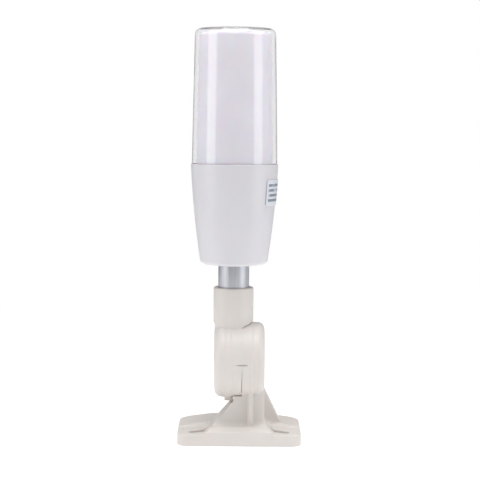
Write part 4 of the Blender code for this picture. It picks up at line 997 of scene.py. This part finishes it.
def housing_shell():
    bore = TUBE + CLEAR_GAP
    collar, floor, shoulder = bore + COLLAR_WALL, CUP_LOW + CUP_FLOOR, SEAT_HEIGHT - 0.002
    rim = 0.0004
    profile = [(SEAT, CUP_HIGH)] + arc((cup_radius(CUP_HIGH) - rim, CUP_HIGH - rim), rim, QUARTER, 0, 4)
    profile += [(cup_radius(z), z) for z in between(CUP_HIGH - 2 * rim, CUP_LOW + CUP_EDGE, 40)]
    turn = cup_radius(CUP_LOW + CUP_EDGE) - CUP_EDGE
    profile += arc((turn, CUP_LOW + CUP_EDGE), CUP_EDGE, 0, -QUARTER, 12)[1:]
    profile += [(bore, CUP_LOW), (bore, COLLAR_TOP), (collar, COLLAR_TOP), (collar, floor)]
    profile += [(cup_radius(z) - CUP_WALL, z) for z in between(floor, shoulder, 24)]
    profile += [(cup_radius(shoulder) - CUP_WALL, SEAT_HEIGHT), (SEAT, SEAT_HEIGHT)]
    return turned("housing_shell", profile, centre=POLE, closed=True, sides=144)


def screw_column(angle, floor):
    reach = CUP_TOP - COLUMN_CIRCLE
    outline = slot_outline(around(COLUMN_CIRCLE + reach / 2, angle), angle, reach + 2 * COLUMN, 2 * COLUMN)
    column = pressed("column", outline, floor - 0.0015, COLUMN_TOP, centre=POLE)
    inside = [(0, CUP_HIGH)]
    inside += [(cup_radius(z) - CUP_WALL / 2, z) for z in between(CUP_HIGH, floor - 0.001, 16)]
    return keep_inside(column, turned("inside", inside + [(0, floor - 0.001)], centre=POLE, sides=130))


housing = housing_shell()
join(housing, *[screw_column(angle, CUP_LOW + CUP_FLOOR) for angle in POLE_TURNS])
pilots = []
for angle in POLE_TURNS:
    place = on_pole(COLUMN_CIRCLE, angle)
    pilots.append(rod("pilot", M3 + CLEAR_GAP, COLUMN_TOP - PILOT_DEPTH, COLUMN_TOP + PAST, centre=place))
across = rod("across", M4 + CLEAR_GAP, -0.015, 0.015, "X", (POLE.x, 0, COLLAR_BOLT))
cut(housing, across, *pilots)
hand_over(housing, WHITE, "light_arm", "white_plastic", "housing")
housing_faces = len(housing.data.polygons)
print("housing", round(2 * cup_radius(CUP_HIGH), 4), "across at its rim,", housing_faces, "faces")

# %% The collar's bolt and nut
COLLAR_FLATS, COLLAR_NUT, COLLAR_END = 0.007, 0.0032, 0.0042
collar = TUBE + CLEAR_GAP + COLLAR_WALL
screw(
    "collar_bolt", (POLE.x - collar - CLEAR_GAP, 0, COLLAR_BOLT), (1, 0, 0), 0.0035, 0.003, M4,
    2 * collar + 2 * CLEAR_GAP + COLLAR_END,
)
collar_centre, nut_face = (POLE.x, 0, COLLAR_BOLT), collar + CLEAR_GAP
collar_nut = chamfered_hexagon(
    "collar_nut_fine", COLLAR_FLATS, nut_face, nut_face + COLLAR_NUT, collar_centre
)
cut(collar_nut, rod("bore", M4 + CLEAR_GAP, collar, collar + 0.006, "X", collar_centre))
hand_over(collar_nut, ZINC, "light_arm", "zinc_steel", "collar_nut")

# %% [markdown]
# ## The label on its curve
# The film follows the housing's own formula, 0.3 mm proud of it, and its corners are rounded in the flat.
# It is built as a grid in angle and height, and given its thickness with Solidify.

# %% Wrap the label
LABEL_THICK, LABEL_CORNER = 0.0003, 0.0016


def label_sheet():
    work = bmesh.new()
    columns, rows = 48, 18
    grid = []
    middle = (LABEL_LOW + LABEL_HIGH) / 2
    half = (LABEL_HIGH - LABEL_LOW) / 2
    for i in range(columns + 1):
        angle = LABEL_START + (LABEL_END - LABEL_START) * i / columns
        edge = min(angle - LABEL_START, LABEL_END - angle) * CUP_TOP
        inset = 0.0
        if edge < LABEL_CORNER:
            inset = LABEL_CORNER - math.sqrt(LABEL_CORNER ** 2 - (LABEL_CORNER - edge) ** 2)
        line = []
        for height in between(middle - half + inset, middle + half - inset, rows):
            radius = cup_radius(height) + CLEAR_GAP
            place = (POLE.x + radius * math.sin(angle), -radius * math.cos(angle), height)
            line.append(work.verts.new(place))
        grid.append(line)
    for first, second in zip(grid, grid[1:]):
        for j in range(rows):
            work.faces.new((first[j], second[j], second[j + 1], first[j + 1]))
    return shaped("label_film", work)


label = label_sheet()
thickness = label.modifiers.new("film", "SOLIDIFY")
thickness.thickness = LABEL_THICK
thickness.offset = 1.0
settle(label)
hand_over(label, LABEL_FILM, "light_arm", "label_print", "rating_label")
print("label", round((LABEL_END - LABEL_START) * CUP_TOP, 4), "m long")

# %% [markdown]
# ## The chassis
# A white disc stands on a ring inside the housing. It carries the lamp above and the driver board below,
# and three notches in its edge let the lens's tongues drop past it before they turn under it and lock.

# %% The chassis and its screws
DECK, DECK_THICK, DECK_RIM = 0.1903, 0.002, 0.0272
NECK, NECK_WALL, LINK_HOLE = 0.0256, 0.0022, 0.0055
BOARD_LOW, BOARD_THICK = 0.1837, 0.0016
POST_CIRCLE, CARRIER_CIRCLE = 0.018, 0.0133
TONGUE, TURN = math.radians(22), math.radians(25)
deck_top, neck_foot = DECK + DECK_THICK, COLUMN_TOP + CLEAR_GAP


def chassis_disc():
    soft = 0.0003
    profile = rounded([
        (LINK_HOLE, deck_top, soft), (DECK_RIM, deck_top, soft), (DECK_RIM, DECK, soft), (NECK, DECK),
        (NECK, neck_foot, soft), (NECK - NECK_WALL, neck_foot, soft), (NECK - NECK_WALL, DECK),
        (LINK_HOLE, DECK, soft),
    ], 3)
    return turned("chassis_fine", profile, centre=POLE, closed=True, sides=110)


chassis = chassis_disc()
post_low = BOARD_LOW + BOARD_THICK + CLEAR_GAP
grown, holes = [], []
for angle in POLE_TURNS:
    place = on_pole(COLUMN_CIRCLE, angle)
    grown.append(rod("pad", 0.0042, neck_foot, neck_foot + 0.003, centre=place, sides=44))
    holes.append(rod("pad_hole", M3 + CLEAR_GAP, neck_foot - 0.001, neck_foot + 0.004, centre=place))
    holes.append(rod("access", 0.003, DECK - 0.001, deck_top + 0.001, centre=place))
    notch = sector(NECK + CLEAR_GAP, 0.03, angle, TONGUE + math.radians(8))
    holes.append(pressed("notch", notch, DECK - 0.001, deck_top + 0.001, centre=POLE))
for angle in FACE_TURNS:
    under_post, under_seat = on_pole(POST_CIRCLE, angle), on_pole(CARRIER_CIRCLE, angle)
    grown.append(rod("post", 0.003, post_low, DECK + 0.001, centre=under_post, sides=40))
    grown.append(rod("seat", 0.0025, DECK - 0.0035, DECK + 0.001, centre=under_seat, sides=36))
    holes.append(rod("post_pilot", M2 + CLEAR_GAP, post_low - 0.001, DECK + 0.0005, centre=under_post))
    holes.append(rod("seat_pilot", M2 + CLEAR_GAP, DECK - 0.005, deck_top + 0.001, centre=under_seat))
join(chassis, *grown)
cut(chassis, *holes)
hand_over(chassis, INNER_WHITE, "light_arm", "white_plastic", "chassis")
for number, angle in enumerate(POLE_TURNS, 1):
    x, y, _ = on_pole(COLUMN_CIRCLE, angle)
    screw(f"chassis_screw_{number}", (x, y, neck_foot + 0.0033), (0, 0, -1), 0.0027, 0.0022, M3, 0.0118)
print("chassis", len(chassis.data.polygons), "faces")

# %% [markdown]
# ## The driver board
# A round board hangs under the chassis on three small screws. Below it hang the parts that need height:
# a capacitor in its sleeve, a choke wound with copper, and the terminal block that takes the supply lead.
# Small chips stand on its top. The connector to the lamp passes up through the deck.

# %% Board and its screws
BOARD, BOARD_SOFT = 0.0232, 0.0002
board_top = BOARD_LOW + BOARD_THICK
board_outline = rounded([
    (0, board_top), (BOARD, board_top, BOARD_SOFT), (BOARD, BOARD_LOW, BOARD_SOFT), (0, BOARD_LOW),
], 3)
board = turned("driver_board_fine", board_outline, centre=POLE, sides=120)
for number, (clear, fixed) in enumerate(zip(POLE_TURNS, FACE_TURNS), 1):
    low, high = BOARD_LOW - 0.001, BOARD_LOW + 0.003
    notch = rod("notch", 0.0046, low, high, centre=on_pole(COLUMN_CIRCLE, clear))
    screw_hole = rod("hole", M2 + CLEAR_GAP, low, high, centre=on_pole(POST_CIRCLE, fixed))
    cut(board, notch, screw_hole)
    x, y, _ = on_pole(POST_CIRCLE, fixed)
    screw(f"board_screw_{number}", (x, y, BOARD_LOW - CLEAR_GAP), (0, 0, 1), 0.0022, 0.0016, M2, 0.0055)
hand_over(board, GREEN_BOARD, "light_arm", "green_board", "driver_board")
under = BOARD_LOW - CLEAR_GAP

# %% Capacitor, choke, terminal block and connector
can = 0.005
can_low, can_place = under - 0.016, (POLE.x + 0.008, -0.005, 0)
sleeve = [(0, under), (can * 0.86, under), (can * 0.86, under - 0.0004), (can, under - 0.0009)]
sleeve += [(can, under - 0.0018), (can * 0.93, under - 0.0023), (can, under - 0.0028)]
sleeve += [(can, can_low + 0.0006), (can * 0.94, can_low), (can * 0.84, can_low)]
sleeve += [(can * 0.84, can_low + 0.0003), (0, can_low + 0.0003)]
capacitor = turned("capacitor_fine", sleeve, centre=can_place, sides=72)
for turn in (0.0, QUARTER):
    vent = block("vent", (-0.003, -0.0002, can_low - 0.001), (0.003, 0.0002, can_low + 0.0006), turn)
    vent.data.transform(Matrix.Translation(can_place))
    cut(capacitor, vent)
hand_over(capacitor, BLACK, "light_arm", "black_component", "smoothing_capacitor")

choke_place = (POLE.x + 0.006, 0.007, 0)
choke_low, flange, core_radius, rim = under - 0.008, 0.0012, 0.0022, 0.004
choke = turned("choke_core", rounded([
    (0, under), (rim, under, 0.0003), (rim, under - flange, 0.0002), (core_radius, under - flange),
    (core_radius, choke_low + flange), (rim, choke_low + flange, 0.0002), (rim, choke_low, 0.0003),
    (0, choke_low),
], 3), centre=choke_place, sides=64)
hand_over(choke, FERRITE, "light_arm", "grey_fibre", "inductor")
wire = 0.00022
rows = round((under - choke_low - 2 * flange) / (2 * wire))
windings = [(core_radius + 0.0001, under - flange - 0.0001)]
for i in range(rows):
    middle = under - flange - wire * (2 * i + 1)
    windings += arc((0.0033, middle), wire * 0.98, QUARTER, -QUARTER, 6)
windings.append((core_radius + 0.0001, choke_low + flange + 0.0001))
coil = turned("choke_winding", windings, centre=choke_place, closed=True, sides=64)
hand_over(coil, COPPER, "light_arm", "grey_fibre")

terminal_x, terminal_low = POLE.x - 0.009, under - 0.009
terminal = block(
    "terminal_fine", (terminal_x - 0.006, -0.004, terminal_low), (terminal_x + 0.006, 0.004, under)
)
clamps = []
for side in (-1, 1):
    place = (terminal_x + side * 0.003, 0, terminal_low)
    over_screw, on_screw = (place[0], 0.0008, 0), (place[0], 0.0008, terminal_low)
    entry = block("entry", (-0.0019, -0.005, 0.0015), (0.0019, -0.001, 0.0050), centre=place)
    well = rod("well", 0.0019, terminal_low - 0.001, terminal_low + 0.0009, centre=over_screw)
    cut(terminal, entry, well)
    clamp = rod("clamp", 0.00175, terminal_low + 0.0002, terminal_low + 0.0020, centre=over_screw)
    cut(clamp, block("drive", (-0.0014, -0.0002, -0.001), (0.0014, 0.0002, 0.0007), centre=on_screw))
    clamps.append(clamp)
bevelled(terminal, 0.00015, 2)
hand_over(terminal, BLUE, "light_arm", "blue_terminal", "terminal_block")
hand_over(fused("terminal_clamps", clamps), BRASS, "light_arm", "zinc_steel")

link_low = board_top + CLEAR_GAP
link = block("connector_fine", (POLE.x - 0.004, -0.0025, link_low), (POLE.x + 0.004, 0.0025, deck_top))
pins = []
pin_pitch, pocket_half, pin_half = 0.0024, 0.0008, 0.0003
for i in range(3):
    x = POLE.x - pin_pitch + pin_pitch * i
    low, high = (x - pocket_half, -0.0012, deck_top - 0.003), (x + pocket_half, 0.0012, deck_top + 0.001)
    cut(link, block("pocket", low, high))
    low, high = (x - pin_half, -pin_half, deck_top - 0.0032), (x + pin_half, pin_half, deck_top - 0.0004)
    pins.append(block("pin", low, high))
bevelled(link, 0.00015, 2)
hand_over(link, BLACK, "light_arm", "black_component", "lamp_connector")
hand_over(fused("connector_pins", pins), BRASS, "light_arm", "zinc_steel")

# %% Chips on the board's top
chips = []
for i in range(9):
    turn = math.radians(10 + 40 * i)
    size = 0.0016 + 0.0006 * (i % 3)
    half, side = size / 2, size * 0.3
    chip = block("chip", (-half, -side, board_top - 0.0001), (half, side, board_top + size * 0.4))
    place = Matrix.Translation(on_pole(0.0095 + 0.002 * (i % 2), turn))
    chip.data.transform(place @ Matrix.Rotation(turn, 4, "Z"))
    chips.append(bevelled(chip, 0.0001, 2))
hand_over(fused("driver_chips", chips), BLACK, "light_arm", "black_component")
print("driver board with", len(chips), "chips,", rows, "turns of wire in view")

# %% [markdown]
# ## The lamp
# A three-sided column stands on the deck, and each side carries a white strip with five lamps.
# Each lamp is a pale square package with a round well, and yellow phosphor fills the well as a low dome.

# %% Column and strips
FACE, COLUMN_WALL, COLUMN_CORNER, COLUMN_END = 0.008, 0.0016, 0.003, 0.282
STRIP_WIDTH, STRIP_THICK, STRIP_LOW, STRIP_HIGH = 0.016, 0.0012, 0.198, 0.280
LAMPS, LAMP_SIZE, LAMP_RISE = 5, 0.005, 0.0014


def three_sided(distance, corner):
    return rounded([(*around(2 * distance, angle + math.pi / 3), corner) for angle in FACE_TURNS], 6)


foot_low = deck_top + CLEAR_GAP
carrier = pressed("led_carrier_fine", three_sided(FACE, COLUMN_CORNER), foot_low, COLUMN_END, centre=POLE)
join(carrier, rod("flange", 0.016, foot_low, foot_low + 0.002, centre=POLE, sides=100))
hollow = pressed(
    "hollow", three_sided(FACE - COLUMN_WALL, COLUMN_CORNER - COLUMN_WALL), foot_low - 0.001,
    COLUMN_END - COLUMN_WALL, centre=POLE,
)
screw_holes = [
    rod("hole", M2 + CLEAR_GAP, foot_low - 0.001, foot_low + 0.003, centre=on_pole(CARRIER_CIRCLE, angle))
    for angle in FACE_TURNS
]
cut(carrier, hollow, *screw_holes)
hand_over(carrier, INNER_WHITE, "light_arm", "white_plastic", "led_carrier")


def lamp_package(front, middle):
    """A square package with a round well, facing +X."""
    half = LAMP_SIZE / 2
    face = front + LAMP_RISE
    package = block("package", (front - 0.00005, -half, middle - half), (face, half, middle + half))
    well = rod("well", half * 0.72, front + LAMP_RISE * 0.55, face + 0.001, "X", (0, 0, middle))
    return bevelled(cut(package, well), 0.00018, 2)


def phosphor_dome(front, middle):
    reach, base = LAMP_SIZE / 2 * 0.68, front + LAMP_RISE * 0.5
    rise = LAMP_RISE * 0.42
    profile = [(reach * math.sin(a), base + rise * math.cos(a)) for a in between(0, QUARTER, 8)]
    return turned("dome", profile + [(0, base)], "X", (0, 0, middle), sides=36)


strip_back = FACE + CLEAR_GAP
strip_front = strip_back + STRIP_THICK
for number, angle in enumerate(FACE_TURNS, 1):
    to_side = Matrix.Translation(POLE) @ Matrix.Rotation(angle, 4, "Z")
    half = STRIP_WIDTH / 2
    strip = block("strip", (strip_back, -half, STRIP_LOW), (strip_front, half, STRIP_HIGH))
    pitch = (STRIP_HIGH - STRIP_LOW) / LAMPS
    middles = [STRIP_LOW + pitch * (i + 0.5) for i in range(LAMPS)]
    packages = [bevelled(strip, 0.0002, 2)] + [lamp_package(strip_front, middle) for middle in middles]
    strip = fused(f"led_strip_{number}", packages)
    domes = fused(f"lamp_domes_{number}", [phosphor_dome(strip_front, middle) for middle in middles])
    for piece in (strip, domes):
        piece.data.transform(to_side)
        piece.data.set_sharp_from_angle(angle=CREASE)
    hand_over(strip, WHITE_BOARD, "light_arm", "white_board", f"led_board_{number}")
    hand_over(domes, PHOSPHOR, "light_arm", "white_board")
    x, y, _ = on_pole(CARRIER_CIRCLE, angle)
    screw(f"carrier_screw_{number}", (x, y, foot_low + 0.0023), (0, 0, -1), 0.0022, 0.0016, M2, 0.0068)
print("lamp:", 3 * LAMPS, "lamps on three strips")

# %% [markdown]
# ## Opal sleeve, clear cover and seal
# The sleeve is a thin cap that hides the lamps and spreads their light. The cover is a cap too, with a wall
# of 2.4 mm and a rounded edge on top. Below its shoulder a skirt plugs into the housing, with three tongues
# inside that lock under the chassis. The wall has both its faces, since refraction needs both.

# %% Turn the sleeve and the cover
COVER_TOP, COVER_CROWN, COVER_FOOT = 0.2912, 0.0284, 0.0302
COVER_EDGE, COVER_WALL = 0.004, 0.0024
SKIRT_LOW, SKIRT, SKIRT_INSIDE = 0.1881, 0.0291, 0.0275
SLEEVE_WALL, SLEEVE_EDGE = 0.0012, 0.003
TONGUE_IN, TONGUE_OVERLAP, TONGUE_HEIGHT = 0.0013, 0.0004, 0.0019
SEAL_CORD = 0.0005


def cover_radius(height):
    share = (height - SPLIT) / (COVER_TOP - SPLIT)
    return COVER_FOOT + (COVER_CROWN - COVER_FOOT) * share


def opal_sleeve():
    top, foot = COVER_TOP - COVER_WALL - CLEAR_GAP, deck_top + CLEAR_GAP
    reach = cover_radius(top - SLEEVE_EDGE) - CLEAR_GAP - COVER_WALL
    shoulder, wall = SKIRT_INSIDE - CLEAR_GAP, SLEEVE_WALL
    bend = (reach - SLEEVE_EDGE, top - SLEEVE_EDGE)
    profile = [(0, top)] + arc(bend, SLEEVE_EDGE, QUARTER, 0, 12)
    profile += [(shoulder, SPLIT), (shoulder, foot), (shoulder - wall, foot), (shoulder - wall, SPLIT)]
    profile += arc(bend, SLEEVE_EDGE - wall, 0, QUARTER, 8) + [(0, top - wall)]
    return turned("opal_sleeve", profile, centre=POLE, sides=144)


def clear_cover():
    shoulder, edge, wall = SPLIT + CLEAR_GAP, COVER_EDGE, COVER_WALL
    crown = cover_radius(COVER_TOP - edge)
    rim = 0.0003
    foot_out = cover_radius(shoulder)
    profile = [(0, COVER_TOP)] + arc((crown - edge, COVER_TOP - edge), edge, QUARTER, 0, 16)
    profile += arc((foot_out - rim, shoulder + rim), rim, 0, -QUARTER, 4)
    profile += [(SKIRT, shoulder), (SKIRT, SKIRT_LOW), (SKIRT_INSIDE, SKIRT_LOW), (SKIRT_INSIDE, shoulder)]
    profile += [(cover_radius(shoulder + 0.002) - wall, shoulder + 0.002)]
    profile += arc((crown - edge, COVER_TOP - edge), edge - wall, 0, QUARTER, 8) + [(0, COVER_TOP - wall)]
    cover = turned("clear_cover", profile, centre=POLE, sides=144)
    tongues = []
    for angle in POLE_TURNS:
        outline = sector(SKIRT_INSIDE - TONGUE_IN, SKIRT_INSIDE + TONGUE_OVERLAP, angle - TURN, TONGUE)
        tongues.append(pressed("tongue", outline, SKIRT_LOW, SKIRT_LOW + TONGUE_HEIGHT, centre=POLE))
    return join(cover, *tongues)


sleeve = hand_over(opal_sleeve(), OPAL, "light_arm", "opal_plastic", "diffuser")
cover = hand_over(clear_cover(), CLEAR, "lens", "clear_plastic", "lens_cover")
seal_middle = ((SEAT + SKIRT_INSIDE) / 2 + CLEAR_GAP, SKIRT_LOW - CLEAR_GAP - SEAL_CORD)
seal_section = arc(seal_middle, SEAL_CORD, math.pi, -math.pi, 20)[:-1]
seal = turned("seal_ring", seal_section, centre=POLE, closed=True, sides=144)
hand_over(seal, RUBBER, "light_arm", "black_rubber", "lens_ring")
print("cover", len(cover.data.polygons), "faces, sleeve", len(sleeve.data.polygons), "faces")

# %% [markdown]
# ## Floor, light and camera
# A product like this is lit by two tall soft boxes, one at each side, which leave a bright upright band on
# each side of every round piece. A wide soft box overhead lights the plate. The floor is pale and small, so
# that no horizon shows. The surroundings are full white to the eye and through the clear cover, and they
# light the rest at less than a third of that, so that the shaded sides stay pale without losing their shape.

# %% Floor
FLOOR_RADIUS, FLOOR_DROP = 0.7, 0.0002


def pale_floor():
    work = bmesh.new()
    bmesh.ops.create_circle(work, cap_ends=True, segments=96, radius=FLOOR_RADIUS)
    floor = shaped("studio_floor", work)
    finish = Finish("pale_floor", 0.9)
    finish.colour(finish.mixed(finish.noise(3.0, 2.0), (0.72, 0.72, 0.72), (0.74, 0.74, 0.74)))
    shade(finish, Specular_IOR_Level=0.1, Emission_Color=(1.0, 1.0, 1.0, 1.0), Emission_Strength=0.40)
    floor.data.materials.append(finish.material)
    floor.location.z = -FLOOR_DROP
    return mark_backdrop(floor)


pale_floor()

# %% Soft boxes and surroundings
SURROUNDINGS = 0.30


def soft_box(name, azimuth, height, distance, width, tall, watts, aim=0.17):
    """A panel that looks at the light. Azimuth 0 is the front and 90 is +X."""
    lamp = bpy.data.lights.new(name, "AREA")
    lamp.shape = "RECTANGLE"
    lamp.size, lamp.size_y, lamp.energy = width, tall, watts
    panel = bpy.data.objects.new(name, lamp)
    turn = math.radians(azimuth)
    panel.location = (math.sin(turn) * distance, -math.cos(turn) * distance, height)
    look = Vector((POLE.x, 0, aim)) - panel.location
    panel.rotation_euler = look.to_track_quat("-Z", "Y").to_euler()
    bpy.context.scene.collection.objects.link(panel)
    return panel


soft_box("left_soft_box", -68, 0.32, 1.0, 0.50, 1.3, 4.0)
soft_box("right_soft_box", 68, 0.32, 1.0, 0.50, 1.3, 3.85)
soft_box("top_soft_box", 0, 1.5, 0.15, 1.0, 1.0, 18.0)
world = bpy.data.worlds.new("studio")
world.use_nodes = True
sky = world.node_tree.nodes["Background"]
sky.inputs["Color"].default_value = (1.0, 1.0, 1.0, 1.0)
ray = world.node_tree.nodes.new("ShaderNodeLightPath")
seen = world.node_tree.nodes.new("ShaderNodeMath")
seen.operation = "MAXIMUM"
world.node_tree.links.new(ray.outputs["Is Camera Ray"], seen.inputs[0])
world.node_tree.links.new(ray.outputs["Is Transmission Ray"], seen.inputs[1])
strength = world.node_tree.nodes.new("ShaderNodeMapRange")
strength.inputs["To Min"].default_value = SURROUNDINGS
strength.inputs["To Max"].default_value = 1.0
world.node_tree.links.new(seen.outputs[0], strength.inputs["Value"])
world.node_tree.links.new(strength.outputs["Result"], sky.inputs["Strength"])
bpy.context.scene.world = world
bpy.context.scene.view_settings.view_transform = "Standard"
# The cover's flat top guides light inside its wall from rim to rim, and that takes many bounces.
bpy.context.scene.cycles.max_bounces = 40
bpy.context.scene.cycles.glossy_bounces = 20
bpy.context.scene.cycles.transmission_bounces = 32

# %% Camera
CAMERA_PLACE = (-0.0011, -0.984, 0.2277)
CAMERA_PITCH, CAMERA_ROLL = 4.97, -0.46
CAMERA_SENSOR, CAMERA_LENS = 36.0, 104.0
camera = bpy.data.cameras.new("camera")
camera.sensor_width = CAMERA_SENSOR
camera.lens = CAMERA_LENS
eye = bpy.data.objects.new("camera", camera)
eye.location = CAMERA_PLACE
eye.rotation_euler = (math.radians(90 - CAMERA_PITCH), math.radians(CAMERA_ROLL), 0)
bpy.context.scene.collection.objects.link(eye)
bpy.context.scene.camera = eye
print("camera at", CAMERA_PLACE)
